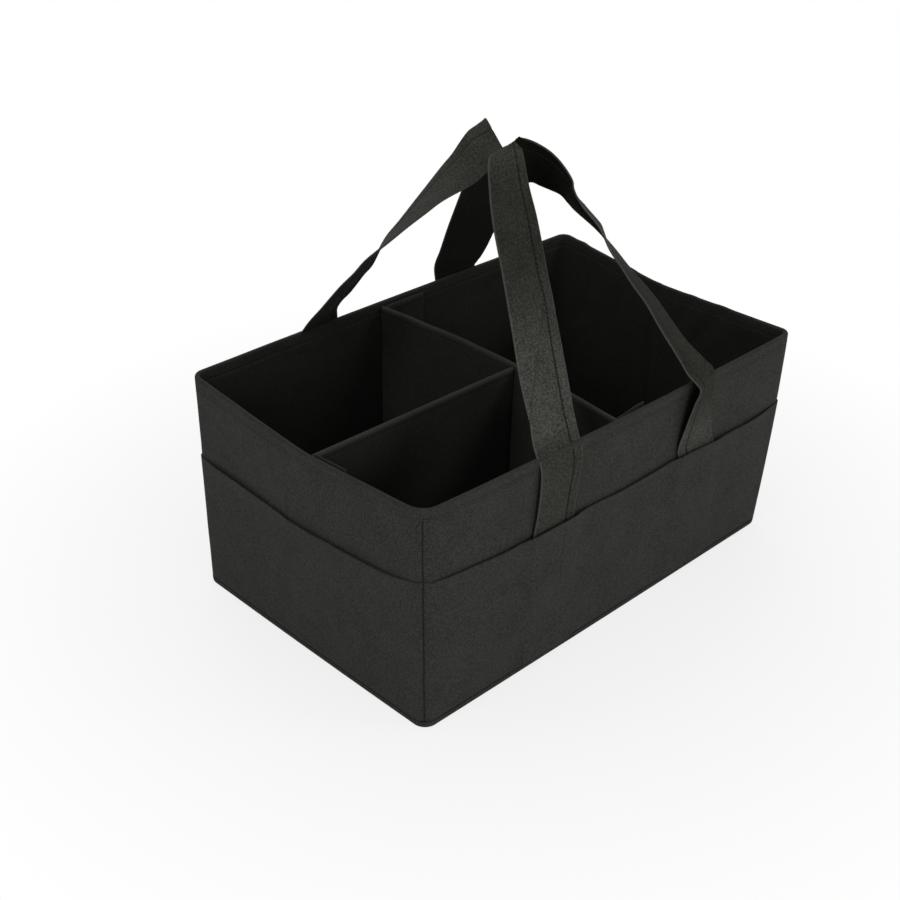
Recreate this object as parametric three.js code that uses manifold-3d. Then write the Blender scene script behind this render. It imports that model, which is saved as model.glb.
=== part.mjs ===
// Diaper caddy: an open felt box stiffened with boards, with flat pockets round the outside,
// a lift-out T-shaped divider held by hook-and-loop flaps, and two webbing handles that lean together.
// Lengths are in millimetres. +Z is up, +X runs along the long side, and the front wall faces -Y.
import * as THREE from "three";
import Module from "manifold-3d";
import { mergeVertices } from "three/addons/utils/BufferGeometryUtils.js";

const wasm = await Module();
wasm.setup();

// Box
const boxWidth = 393.7;
const boxDepth = 254;
const boxHeight = 190.5;
const cornerRadius = 10;
const cornerSteps = 4;
const feltThickness = 0.7;
const wallBoardThickness = 2;
const seatGap = 0.3;
const leftWallBow = 1.5;
const rightWallBow = 9;
const foldLineOffset = 6;
const foldSoftHalf = 8;
const foldGap = 3;
// Where a bowed wall has points between its corner and its fold line, and up its height
const bowStationShares = [0.3, 0.55, 0.8];
const bowLevelShares = [0.2, 0.4, 0.6, 0.8];

// Rim and bottom edges
const rimBindingHeight = 9;
const rimRounding = 1;
const bottomBindingHeight = 6;
const bottomBindingFoot = 9;
const baseBoardThickness = 2.5;
const baseBoardSideGap = 0.9;
const baseCornerRadius = 5;

// Pockets
const longPocketHeight = 124.5;
const endPocketHeight = 120;
const pocketEaseHalf = 1.5;
const pocketEaseSlope = 4;

// Handles
const strapWidth = 42;
const strapThickness = 2;
const strapTailFoot = 8;
const strapHingeGap = 0.9;
const handleRise = 183;
const frontHandleCentre = 11;
const frontHandleHalfSpread = 79.5;
const backHandleCentre = 3;
const backHandleHalfSpread = 75;
const ribbonSteps = 96;
// Handle courses from the untwisted leg over the crest to the twisted leg, in the wall's own frame.
// Each row: place along, draw inwards and rise as shares, then the strap's width direction
// (along, outwards, up). The shares are of half the spread, the reach to the middle, and the rise.
const frontCourseShares = [
  [-1, 0, 0, [1, 0, 0]],
  [-0.998, 0.003, 0.02, [1, 0, 0]],
  [-0.975, 0.045, 0.055, [1, 0.03, -0.02]],
  [-0.83, 0.21, 0.18, [0.99, 0.1, -0.08]],
  [-0.69, 0.38, 0.365, [0.98, 0.12, -0.14]],
  [-0.54, 0.57, 0.56, [0.98, 0.12, -0.16]],
  [-0.4, 0.76, 0.74, [0.98, 0.05, -0.18]],
  [-0.32, 0.85, 0.86, [0.98, -0.06, -0.15]],
  [-0.25, 0.91, 0.925, [0.95, -0.2, 0]],
  [-0.1, 0.94, 0.9, [0.78, -0.05, 0.4]],
  [0.08, 0.94, 0.845, [0.4, 0.25, 0.85]],
  [0.24, 0.92, 0.805, [0.05, 0.5, 0.85]],
  [0.36, 0.88, 0.77, [-0.2, 0.66, 0.72]],
  [0.43, 0.83, 0.72, [-0.41, 0.72, 0.55]],
  [0.51, 0.77, 0.65, [-0.52, 0.76, 0.4]],
  [0.62, 0.7, 0.58, [-0.61, 0.75, 0.27]],
  [0.73, 0.61, 0.5, [-0.72, 0.66, 0.23]],
  [0.82, 0.45, 0.365, [-0.82, 0.52, 0.25]],
  [0.88, 0.28, 0.235, [-0.87, 0.44, 0.21]],
  [0.95, 0.13, 0.115, [-0.93, 0.32, 0.12]],
  [0.985, 0.035, 0.055, [-1, 0.1, 0.03]],
  [0.998, 0.003, 0.02, [-1, 0.01, 0]],
  [1, 0, 0, [-1, 0, 0]],
];
const backCourseShares = [
  [-1, 0, 0, [1, 0, 0]],
  [-0.998, 0.003, 0.02, [1, 0, 0]],
  [-0.975, 0.04, 0.055, [1, 0.05, 0]],
  [-0.85, 0.17, 0.18, [0.97, 0.25, 0.02]],
  [-0.72, 0.34, 0.365, [0.96, 0.27, -0.05]],
  [-0.61, 0.46, 0.56, [0.98, 0.12, -0.15]],
  [-0.5, 0.6, 0.72, [0.96, 0.1, 0]],
  [-0.4, 0.71, 0.83, [0.85, 0.05, 0.35]],
  [-0.28, 0.78, 0.895, [0.6, 0, 0.72]],
  [-0.14, 0.8, 0.88, [0.45, 0.3, 0.75]],
  [-0.01, 0.79, 0.87, [0.15, 0.65, 0.65]],
  [0.1, 0.77, 0.825, [-0.12, 0.8, 0.5]],
  [0.21, 0.74, 0.78, [-0.3, 0.87, 0.3]],
  [0.34, 0.7, 0.73, [-0.48, 0.86, 0.1]],
  [0.49, 0.64, 0.665, [-0.6, 0.8, -0.02]],
  [0.63, 0.57, 0.58, [-0.74, 0.68, 0]],
  [0.76, 0.44, 0.455, [-0.91, 0.4, 0.05]],
  [0.84, 0.28, 0.31, [-0.95, 0.32, 0.02]],
  [0.92, 0.14, 0.18, [-0.95, 0.28, 0]],
  [0.98, 0.04, 0.065, [-1, 0.08, 0]],
  [0.998, 0.003, 0.02, [-1, 0.01, 0]],
  [1, 0, 0, [-1, 0, 0]],
];

// Divider
const dividerBoardThickness = 2;
const crossDividerOffset = -4.5;
const longDividerOffset = -17;
const dividerRimDrop = 2.5;
const longDividerDrop = 2;
const dividerEndGap = 1.2;
const flapWidth = 30;
const flapFoot = 24;
const flapHingeGap = 0.5;
const tapeThickness = 0.9;
const tapeWidth = 20;
const tapeEndMargin = 6;
// The tape leaves this share of the flap's spare width on its hinge side.
const tapeStartShare = 0.7;

const fabricColour = 0x2b2b28;
const linerColour = 0x232321;
const bindingColour = 0x262624;
const strapColour = 0x2d2d2a;
const boardColour = 0x8a7458;
const tapeColour = 0x161616;
const clothRoughness = 0.95;
const boardRoughness = 0.9;

// Heights and insets worked out from the sizes above
const wallThickness = 2 * feltThickness + wallBoardThickness + 2 * seatGap;
const linerInset = wallThickness - feltThickness;
const wallBoardInset = feltThickness + seatGap;
const outerLow = feltThickness + seatGap;
const rimLow = boxHeight - rimBindingHeight;
const panelHigh = rimLow - seatGap;
const wallBoardHigh = boxHeight - feltThickness - seatGap;
const pocketInset = -seatGap - feltThickness;
const strapInset = -seatGap - strapThickness;
const pocketLift = strapThickness + seatGap;
const baseTop = 2 * feltThickness + baseBoardThickness + 2 * seatGap;
const dividerThickness = dividerBoardThickness + 2 * feltThickness + 2 * seatGap;
const dividerLow = baseTop + seatGap;
const crossDividerTop = boxHeight - dividerRimDrop;
const longDividerTop = crossDividerTop - longDividerDrop;
const flapTop = crossDividerTop;

const walls = {
  front: { along: [1, 0], out: [0, -1], half: boxWidth / 2, distance: boxDepth / 2, bow: 0 },
  right: { along: [0, 1], out: [1, 0], half: boxDepth / 2, distance: boxWidth / 2, bow: rightWallBow },
  back: { along: [-1, 0], out: [0, 1], half: boxWidth / 2, distance: boxDepth / 2, bow: 0 },
  left: { along: [0, -1], out: [-1, 0], half: boxDepth / 2, distance: boxWidth / 2, bow: leftWallBow },
};

const handles = {
  front: { wall: walls.front, centre: frontHandleCentre, halfSpread: frontHandleHalfSpread },
  back: { wall: walls.back, centre: backHandleCentre, halfSpread: backHandleHalfSpread },
};

const part = new THREE.Group();

function finish(colour, roughness) {
  return new THREE.MeshStandardMaterial({ color: colour, roughness, metalness: 0 });
}

function addNode(name, geometry, colour, roughness = clothRoughness) {
  const mesh = new THREE.Mesh(geometry, finish(colour, roughness));
  mesh.name = name;
  part.add(mesh);
  return mesh;
}

// A closed solid through rings of points: joined end to end, or capped at both ends. A ring goes
// round a thin section, so its points pair up across it, and both sides are cut on like diagonals.
function loft(rings, closed = false) {
  const count = rings[0].length;
  const levels = count / 2;
  const positions = rings.flat().flatMap((point) => point.toArray());
  const faces = [];
  const last = closed ? rings.length : rings.length - 1;
  for (let r = 0; r < last; r++) {
    const next = (r + 1) % rings.length;
    for (let k = 0; k < count; k++) {
      const across = (k + 1) % count;
      const a = r * count + k;
      const b = r * count + across;
      const c = next * count + across;
      const d = next * count + k;
      if (k > levels) faces.push(a, b, d, b, c, d);
      else faces.push(a, b, c, a, c, d);
    }
  }
  if (!closed) {
    const end = (rings.length - 1) * count;
    for (let level = 0; level < levels - 1; level++) {
      const near = (count - level) % count;
      const nearNext = count - level - 1;
      const far = level + 1;
      const farNext = level + 2;
      faces.push(near, farNext, far, near, nearNext, farNext);
      faces.push(end + near, end + far, end + farNext, end + near, end + farNext, end + nearNext);
    }
  }
  const geometry = new THREE.BufferGeometry();
  geometry.setAttribute("position", new THREE.Float32BufferAttribute(positions, 3));
  geometry.setIndex(faces);
  geometry.computeVertexNormals();
  return geometry;
}

function box(low, high) {
  const size = new THREE.Vector3().subVectors(high, low);
  const middle = new THREE.Vector3().addVectors(low, high).multiplyScalar(0.5);
  return new THREE.BoxGeometry(size.x, size.y, size.z).translate(middle.x, middle.y, middle.z);
}

function solid(geometry) {
  const bare = geometry.clone();
  bare.deleteAttribute("normal");
  bare.deleteAttribute("uv");
  const merged = mergeVertices(bare);
  return new wasm.Manifold(
    new wasm.Mesh({
      numProp: 3,
      vertProperties: new Float32Array(merged.attributes.position.array),
      triVerts: new Uint32Array(merged.index.array),
    }),
  );
}

function cutFrom(body, tool) {
  const mesh = solid(body).subtract(solid(tool)).getMesh();
  const geometry = new THREE.BufferGeometry();
  geometry.setAttribute("position", new THREE.BufferAttribute(mesh.vertProperties, 3));
  geometry.setIndex(new THREE.BufferAttribute(mesh.triVerts, 1));
  geometry.computeVertexNormals();
  return geometry;
}

// A place in the box's frame from a wall's own: along the wall, out from the box's middle, and up.
function wallPlace(wall, along, out, up) {
  const x = wall.along[0] * along + wall.out[0] * out;
  const y = wall.along[1] * along + wall.out[1] * out;
  return new THREE.Vector3(x, y, up);
}

// How far a wall is drawn in at a place along it, as a share of its bow: most at the fold line.
function foldShare(wall, along) {
  if (wall.bow === 0) return 0;
  const flatHalf = wall.half - cornerRadius - Math.abs(foldLineOffset);
  const away = Math.max(Math.abs(along - foldLine(wall)) - foldSoftHalf, 0);
  return Math.max(1 - away / (flatHalf - foldSoftHalf), 0);
}

// The fold line stays at one place in the box, so its sign turns with the wall.
function foldLine(wall) {
  return wall.along[1] * foldLineOffset;
}

// Stations along a wall: a centre, the way out from it, and whether a strap lies there.
function flatStation(wall, along, lift = 0) {
  return { wall, along, out: wall.distance - cornerRadius, turn: [0, 1], fold: foldShare(wall, along), lift };
}

function cornerStations(wall, side, seamTrim) {
  const stations = [];
  const seam = Math.PI / 4 + seamTrim / cornerRadius;
  for (let k = 0; k < cornerSteps; k++) {
    const angle = THREE.MathUtils.lerp(seam, Math.PI / 2, k / cornerSteps);
    stations.push({
      wall,
      along: side * (wall.half - cornerRadius),
      out: wall.distance - cornerRadius,
      turn: [side * Math.cos(angle), Math.sin(angle)],
      fold: 0,
      lift: 0,
    });
  }
  return side < 0 ? stations : stations.reverse();
}

function flatStations(wall, from, to) {
  const places = [from, to];
  if (wall.bow > 0) {
    const line = foldLine(wall);
    const reach = wall.half - cornerRadius - Math.abs(foldLineOffset);
    for (const side of [-1, 1]) {
      places.push(line + side * foldSoftHalf, line + side * reach);
      places.push(...bowStationShares.map((share) => line + side * reach * share));
    }
  }
  return placesBetween(places, from, to).map((along) => flatStation(wall, along));
}

function placesBetween(places, from, to) {
  const inside = places.filter((place) => place >= from && place <= to);
  return [...new Set(inside)].sort((a, b) => a - b);
}

function wholeWall(wall, seamTrim) {
  const flat = wall.half - cornerRadius;
  const middle = flatStations(wall, -flat, flat);
  return [...cornerStations(wall, -1, seamTrim), ...middle, ...cornerStations(wall, 1, seamTrim)];
}

// The same for a pocket over two strap tails: it stands off the wall where each tail lies.
function pocketWall(wall, handle) {
  const flat = wall.half - cornerRadius;
  const middle = [flatStation(wall, -flat)];
  for (const side of [-1, 1]) {
    const centre = handle.centre + side * handle.halfSpread;
    const crown = strapWidth / 2 + pocketEaseHalf;
    middle.push(flatStation(wall, centre - crown - pocketEaseSlope));
    middle.push(flatStation(wall, centre - crown, pocketLift));
    middle.push(flatStation(wall, centre + crown, pocketLift));
    middle.push(flatStation(wall, centre + crown + pocketEaseSlope));
  }
  middle.push(flatStation(wall, flat));
  const trim = seatGap / 2;
  return [...cornerStations(wall, -1, trim), ...middle, ...cornerStations(wall, 1, trim)];
}

function layerPoint(station, inset, height) {
  const reach = cornerRadius - inset + station.lift;
  const drawnIn = (station.wall.bow * station.fold * height) / boxHeight;
  const along = station.along + station.turn[0] * reach;
  const out = station.out + station.turn[1] * reach - drawnIn;
  return wallPlace(station.wall, along, out, height);
}

// A sheet that follows the stations, between two insets from the box's outside and two heights.
function wallSheet(stations, outerInset, thickness, low, high) {
  const bowed = stations[0].wall.bow > 0;
  const between = bowed ? bowLevelShares.map((share) => share * boxHeight) : [];
  const heights = placesBetween([low, high, ...between], low, high);
  const rings = stations.map((station) => {
    const inner = heights.map((height) => layerPoint(station, outerInset + thickness, height));
    const outer = heights.map((height) => layerPoint(station, outerInset, height));
    return [outer[0], ...inner, ...outer.slice(1).reverse()];
  });
  return loft(rings);
}

// A ring round the box whose section is given as insets and heights.
function boxRing(section) {
  const stations = Object.values(walls).flatMap((wall) => wholeWall(wall, 0).slice(1));
  return loft(stations.map((station) => section.map(([inset, up]) => layerPoint(station, inset, up))), true);
}

// Outer panels, linings, wall boards and pockets
function buildWalls() {
  for (const [name, wall] of Object.entries(walls)) {
    const shell = wholeWall(wall, seatGap / 2);
    addNode(`${name}_outer_panel`, wallSheet(shell, 0, feltThickness, outerLow, panelHigh), fabricColour);
    addNode(`${name}_lining`, wallSheet(shell, linerInset, feltThickness, outerLow, panelHigh), linerColour);
  }
  for (const name of ["front", "back"]) {
    const wall = walls[name];
    const flat = wall.half - cornerRadius;
    addNode(`${name}_wall_board`, boardSheet(wall, -flat, flat), boardColour, boardRoughness);
    const pocket = pocketWall(wall, handles[name]);
    const low = bottomBindingHeight + seatGap;
    const sheet = wallSheet(pocket, pocketInset, feltThickness, low, longPocketHeight);
    addNode(`${name}_pocket`, sheet, fabricColour);
  }
  for (const name of ["left", "right"]) {
    const wall = walls[name];
    const flat = wall.half - cornerRadius;
    const line = foldLine(wall);
    const frontSide = wall.along[1] > 0 ? [-flat, line - foldGap / 2] : [line + foldGap / 2, flat];
    const backSide = wall.along[1] > 0 ? [line + foldGap / 2, flat] : [-flat, line - foldGap / 2];
    addNode(`${name}_wall_board_front_half`, boardSheet(wall, ...frontSide), boardColour, boardRoughness);
    addNode(`${name}_wall_board_back_half`, boardSheet(wall, ...backSide), boardColour, boardRoughness);
    const low = bottomBindingHeight + seatGap;
    const shell = wholeWall(wall, seatGap / 2);
    const sheet = wallSheet(shell, pocketInset, feltThickness, low, endPocketHeight);
    addNode(`${name}_pocket`, sheet, fabricColour);
  }
}

function boardSheet(wall, from, to) {
  return wallSheet(flatStations(wall, from, to), wallBoardInset, wallBoardThickness, outerLow, wallBoardHigh);
}

// The binding folded over the rim, and the one round the bottom seam
function buildBindings() {
  const top = boxHeight;
  const web = boxHeight - feltThickness;
  const rimSection = [
    [0, rimLow],
    [feltThickness, rimLow],
    [feltThickness, web],
    [wallThickness - feltThickness, web],
    [wallThickness - feltThickness, rimLow],
    [wallThickness, rimLow],
    [wallThickness, top - rimRounding],
    [wallThickness - rimRounding, top],
    [rimRounding, top],
    [0, top - rimRounding],
  ];
  addNode("rim_binding", boxRing(rimSection), bindingColour);
  const bottomSection = [
    [pocketInset, 0],
    [bottomBindingFoot, 0],
    [bottomBindingFoot, feltThickness],
    [pocketInset + feltThickness, feltThickness],
    [pocketInset + feltThickness, bottomBindingHeight],
    [pocketInset, bottomBindingHeight],
  ];
  addNode("bottom_binding", boxRing(bottomSection), bindingColour);
}

// A flat plate with rounded corners
function plate(inset, low, thickness) {
  const halfX = boxWidth / 2 - inset;
  const halfY = boxDepth / 2 - inset;
  const shape = new THREE.Shape();
  shape.absarc(halfX - baseCornerRadius, halfY - baseCornerRadius, baseCornerRadius, 0, Math.PI / 2);
  shape.absarc(baseCornerRadius - halfX, halfY - baseCornerRadius, baseCornerRadius, Math.PI / 2, Math.PI);
  shape.absarc(baseCornerRadius - halfX, baseCornerRadius - halfY, baseCornerRadius, Math.PI, -Math.PI / 2);
  shape.absarc(halfX - baseCornerRadius, baseCornerRadius - halfY, baseCornerRadius, -Math.PI / 2, 0);
  const settings = { depth: thickness, bevelEnabled: false, curveSegments: cornerSteps };
  return new THREE.ExtrudeGeometry(shape, settings).translate(0, 0, low);
}

function buildBase() {
  const boardLow = feltThickness + seatGap;
  const coverLow = boardLow + baseBoardThickness + seatGap;
  const inset = wallThickness + baseBoardSideGap;
  addNode("base_panel", plate(bottomBindingFoot + seatGap, 0, feltThickness), fabricColour);
  addNode("base_board", plate(inset, boardLow, baseBoardThickness), boardColour, boardRoughness);
  addNode("base_lining", plate(inset, coverLow, feltThickness), linerColour);
}

// Strap tails, behind the pockets and up the outside of the wall to the rim
function buildStrapTails() {
  for (const [name, handle] of Object.entries(handles)) {
    for (const side of [-1, 1]) {
      const centre = handle.centre + side * handle.halfSpread;
      const stations = [-1, 1].map((edge) => flatStation(handle.wall, centre + (edge * strapWidth) / 2));
      const hand = side * handle.wall.along[0] < 0 ? "left" : "right";
      const high = boxHeight - strapHingeGap / 2;
      const geometry = wallSheet(stations, strapInset, strapThickness, strapTailFoot, high);
      addNode(`${name}_strap_tail_${hand}`, geometry, strapColour);
    }
  }
}

// A flat strap along a course, its width held square to the way it runs
function strapLoop(handle, courseShares) {
  const strapPlane = handle.wall.distance + seatGap + strapThickness / 2;
  const foot = boxHeight + strapHingeGap / 2;
  const places = courseShares.map(([side, inward, rise]) => {
    const along = handle.centre + side * handle.halfSpread;
    return wallPlace(handle.wall, along, strapPlane * (1 - inward), foot + rise * handleRise);
  });
  const widths = courseShares.map(([, , , width]) => wallPlace(handle.wall, ...width).normalize());
  const course = new THREE.CatmullRomCurve3(places, false, "centripetal");
  const widthCourse = new THREE.CatmullRomCurve3(widths, false, "centripetal");
  const rings = [];
  for (let k = 0; k <= ribbonSteps; k++) {
    const t = k / ribbonSteps;
    const place = course.getPoint(t);
    const ahead = course.getTangent(t);
    if (k === 0) ahead.set(0, 0, 1);
    if (k === ribbonSteps) ahead.set(0, 0, -1);
    const across = widthCourse.getPoint(t).projectOnPlane(ahead).setLength(strapWidth / 2);
    const through = new THREE.Vector3().crossVectors(across, ahead).setLength(strapThickness / 2);
    rings.push([
      place.clone().add(across).sub(through),
      place.clone().sub(across).sub(through),
      place.clone().sub(across).add(through),
      place.clone().add(across).add(through),
    ]);
  }
  return loft(rings);
}

function buildHandles() {
  addNode("front_handle_strap", strapLoop(handles.front, frontCourseShares), strapColour);
  addNode("back_handle_strap", strapLoop(handles.back, backCourseShares), strapColour);
}

// A divider is a board in a felt sleeve that is closed on top and open below.
function buildDivider(name, low, high, across) {
  const skin = across.clone().multiplyScalar(feltThickness + seatGap);
  const ends = new THREE.Vector3(1, 1, 0).sub(across).multiplyScalar(feltThickness + seatGap);
  const inner = skin.clone().add(ends);
  const boardLow = low.clone().add(inner);
  const boardHigh = high.clone().sub(inner);
  boardHigh.z -= feltThickness + seatGap;
  const felt = new THREE.Vector3(feltThickness, feltThickness, 0);
  const hollowLow = low.clone().add(felt);
  hollowLow.z -= feltThickness;
  const hollowHigh = high.clone().sub(felt);
  hollowHigh.z -= feltThickness;
  addNode(`${name}_cover`, cutFrom(box(low, high), box(hollowLow, hollowHigh)), linerColour);
  addNode(`${name}_board`, box(boardLow, boardHigh), boardColour, boardRoughness);
}

function buildDividers() {
  const halfThick = dividerThickness / 2;
  const endY = boxDepth / 2 - wallThickness - dividerEndGap;
  const endX = boxWidth / 2 - wallThickness - leftWallBow - dividerEndGap;
  const crossLow = new THREE.Vector3(crossDividerOffset - halfThick, -endY, dividerLow);
  const crossHigh = new THREE.Vector3(crossDividerOffset + halfThick, endY, crossDividerTop);
  buildDivider("cross_divider", crossLow, crossHigh, new THREE.Vector3(1, 0, 0));
  const longLow = new THREE.Vector3(-endX, longDividerOffset - halfThick, dividerLow);
  const meetX = crossDividerOffset - halfThick - seatGap;
  const longHigh = new THREE.Vector3(meetX, longDividerOffset + halfThick, longDividerTop);
  buildDivider("long_divider", longLow, longHigh, new THREE.Vector3(0, 1, 0));
}

// A flap folded off a divider's end, its hook tape, and the loop tape on the lining behind it.
// The pieces are stacked inwards from the lining, and run along the wall from the divider's face.
function buildFlap(name, wall, hingeAlong, way, bow) {
  const lining = wall.distance - wallThickness - bow;
  const loopOut = lining - seatGap;
  const hookOut = loopOut - tapeThickness - seatGap;
  const flapOut = hookOut - tapeThickness - seatGap;
  const start = hingeAlong + way * flapHingeGap;
  const tapeStart = start + way * (flapWidth - tapeWidth) * tapeStartShare;
  const tapeLow = flapFoot + tapeEndMargin;
  const tapeHigh = flapTop - tapeEndMargin;
  const strip = (from, width, out, thickness, low, high) => {
    const a = wallPlace(wall, from, out, low);
    const b = wallPlace(wall, from + way * width, out - thickness, high);
    return box(a.clone().min(b), a.clone().max(b));
  };
  const loop = strip(tapeStart, tapeWidth, loopOut, tapeThickness, tapeLow, tapeHigh);
  const hook = strip(tapeStart, tapeWidth, hookOut, tapeThickness, tapeLow, tapeHigh);
  addNode(`${name}_loop_tape`, loop, tapeColour);
  addNode(`${name}_hook_tape`, hook, tapeColour);
  addNode(`${name}_flap`, strip(start, flapWidth, flapOut, feltThickness, flapFoot, flapTop), linerColour);
}

function buildFlaps() {
  const crossFace = crossDividerOffset + dividerThickness / 2;
  const longFace = longDividerOffset - dividerThickness / 2;
  buildFlap("front", walls.front, crossFace, 1, 0);
  buildFlap("back", walls.back, -crossFace, -1, 0);
  buildFlap("left", walls.left, -longFace, 1, leftWallBow);
}

buildWalls();
buildBindings();
buildBase();
buildStrapTails();
buildHandles();
buildDividers();
buildFlaps();

export default part;
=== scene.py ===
# Diaper caddy: a felt box stiffened with boards, flat pockets round it, a lift-out T-shaped divider
# on hook-and-loop flaps, and two webbing handles that lean together.
import math

import bmesh
import bpy
from mathutils import Matrix, Vector, noise


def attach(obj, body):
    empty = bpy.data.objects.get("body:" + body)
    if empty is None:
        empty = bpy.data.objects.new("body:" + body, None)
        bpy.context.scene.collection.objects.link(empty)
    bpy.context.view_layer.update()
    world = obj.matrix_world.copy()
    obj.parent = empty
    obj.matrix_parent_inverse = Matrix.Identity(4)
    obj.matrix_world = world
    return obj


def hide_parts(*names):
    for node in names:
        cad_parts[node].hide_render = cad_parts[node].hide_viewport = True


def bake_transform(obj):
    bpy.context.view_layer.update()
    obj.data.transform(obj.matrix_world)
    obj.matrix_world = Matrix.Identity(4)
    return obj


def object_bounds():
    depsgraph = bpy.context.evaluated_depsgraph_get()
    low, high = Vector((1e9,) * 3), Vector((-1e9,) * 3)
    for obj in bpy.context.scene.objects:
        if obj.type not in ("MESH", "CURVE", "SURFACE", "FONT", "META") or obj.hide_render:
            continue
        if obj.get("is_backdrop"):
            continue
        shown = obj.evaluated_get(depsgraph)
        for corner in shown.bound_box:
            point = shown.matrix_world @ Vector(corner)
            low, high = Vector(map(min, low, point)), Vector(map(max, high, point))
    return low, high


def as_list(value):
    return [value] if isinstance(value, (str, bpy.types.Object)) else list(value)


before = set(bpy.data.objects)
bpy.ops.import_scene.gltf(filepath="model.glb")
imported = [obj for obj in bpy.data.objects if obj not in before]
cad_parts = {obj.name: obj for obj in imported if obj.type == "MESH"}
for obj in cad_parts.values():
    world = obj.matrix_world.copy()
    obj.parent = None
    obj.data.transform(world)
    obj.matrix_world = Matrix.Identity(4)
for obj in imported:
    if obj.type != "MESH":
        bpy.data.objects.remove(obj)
cad_low, cad_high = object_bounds()

# The cloth wavers the same way on every run
noise.seed_set(5)

mm = 0.001

# Box, the same sizes as the frame's nodes
BOX_WIDTH = 393.7 * mm
BOX_DEPTH = 254 * mm
BOX_HEIGHT = 190.5 * mm
CORNER_RADIUS = 10 * mm
FELT = 0.7 * mm
BOARD = 2 * mm
SEAT = 0.3 * mm
WALL = 2 * FELT + BOARD + 2 * SEAT
RIM_LOW = 181.5 * mm
PANEL_LOW = 1 * mm
PANEL_HIGH = RIM_LOW - 0.05 * mm

# Steps of the cloth and board grids
CLOTH_STEP = 3.2 * mm
BOARD_STEP = 8 * mm
MERGE = 0.02 * mm

# How the soft box stands: walls pushed out or drawn in at the rim, and corners that lean
LEFT_PUSH = 10 * mm
LEFT_PUSH_LINE = -16 * mm
LEFT_FOOT_BULGE = 0.6 * mm
RIGHT_BOW = 10.5 * mm
RIGHT_SAG = 2 * mm
RIGHT_SWELL = 3.2 * mm
FOLD_LINE = 6 * mm
FOLD_SOFTNESS = 0.006
FRONT_BULGE = 2.2 * mm
FRONT_FOOT_BULGE = 0.5 * mm
FRONT_SAG = 1.4 * mm
BACK_BULGE = 1.2 * mm
NEAR_BLUNT = 2.6 * mm
NEAR_BLUNT_REACH = 13 * mm
NEAR_BLUNT_INSET = 3 * mm
NEAR_BLUNT_WAY = Vector((0.7, 0.7, 0))
WAVER = 0.5 * mm
WAVER_REACH = 95 * mm
WAVER_PHASE = Vector((3.7, 1.2, 8.1))
RIPPLE = 0.16 * mm
RIPPLE_REACH = 27 * mm
RIPPLE_PHASE = Vector((1.7, 9.2, 4.1))

# Where each wall's move starts and where it is full, from the middle of the box
LEFT_EASE = (-130 * mm, -190 * mm)
RIGHT_EASE = (130 * mm, 184 * mm)
FRONT_EASE = (-70 * mm, -120 * mm)
BACK_EASE = (70 * mm, 120 * mm)
SWELL_EASE = (100 * mm, 190 * mm)
SWELL_SIDE_EASE = (20 * mm, -120 * mm)
LONG_WALL_ZONE = 112 * mm
LEFT_WALL_ZONE = -180 * mm
RIGHT_WALL_ZONE = 174 * mm

# How far each corner leans, in mm: side along X, side along Y, and 1 for the rim or 0 for the foot
CORNER_LEAN = {
    (-1, -1, 0): (-0.1, -2.8, 0),
    (1, -1, 0): (2.8, 7.2, 1.2),
    (1, 1, 0): (-1.5, -1.5, 0),
    (-1, 1, 0): (-5.2, 1.2, 2.2),
    (-1, -1, 1): (-1.8, -2.8, 0),
    (1, -1, 1): (5.6, -5.6, 0),
    (1, 1, 1): (4.3, -4.8, 2.6),
    (-1, 1, 1): (-5.5, 5.2, 2.8),
}

# Soft ridges and creases in the walls, in mm: from and to, both along the wall's axis and up,
# half width, rise
CREASES = {
    "front": (
        ((-98, 22), (-97, 8), 7, 0.5),
        ((-75, 50), (-54, 53), 8, 0.35),
        ((-50, 15), (-28, 16), 8, 0.35),
        ((-120, 40), (-95, 60), 14, 0.35),
        ((20, 30), (60, 45), 16, 0.4),
        ((-20, 90), (10, 80), 14, 0.3),
        ((120, 20), (150, 60), 16, 0.4),
        ((130, 150), (160, 175), 14, 0.35),
        ((-150, 165), (-130, 140), 14, 0.3),
        ((20, 165), (45, 150), 13, 0.3),
        ((86, 186), (79, 138), 17, -3),
    ),
    "left": (
        ((11, 186), (10.6, 116), 6, 0.7),
        ((4.5, 120), (7.5, 8), 7, 0.6),
        ((98, 160), (63, 140), 9, 0.8),
        ((111, 179), (81, 168), 10, 0.6),
        ((-60, 60), (-30, 40), 14, 0.4),
        ((60, 30), (90, 55), 14, 0.4),
        ((-90, 150), (-60, 165), 14, 0.35),
    ),
    "right": (
        ((6, 186), (6, 10), 7, 1.5),
        ((-60, 185), (-40, 150), 12, 1.8),
        ((-30, 186), (-22, 160), 9, 1.5),
        ((40, 185), (52, 140), 13, 1.8),
        ((80, 170), (95, 120), 14, 1.4),
        ((100, 188), (88, 150), 9, 1.6),
    ),
    "back": (
        ((-30, 178), (60, 172), 9, 1.0),
        ((60, 160), (150, 176), 12, 1.1),
        ((-120, 175), (-60, 165), 12, 1.0),
        ((80, 60), (140, 90), 16, 0.9),
    ),
}

# Pockets
POCKET_LOW = 6.3 * mm
LONG_POCKET = 124.5 * mm
END_POCKET = 120 * mm
POCKET_INSET = -SEAT - FELT
POCKET_GAPE = 2.7 * mm

# Straps
STRAP_WIDTH = 42 * mm
STRAP_THICK = 1.6 * mm
STRAP_PLANE = 128.05 * mm
STRAP_STITCH = 0.55

# Divider
CROSS_X = -4.5 * mm
LONG_Y = -17 * mm
DIVIDER_THICK = 4.0 * mm
DIVIDER_LOW = 4.8 * mm
CROSS_TOP = 188 * mm
LONG_TOP = 186 * mm
FLAP_PLANE = 119.95 * mm
FLAP_FOOT = 24 * mm


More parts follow.
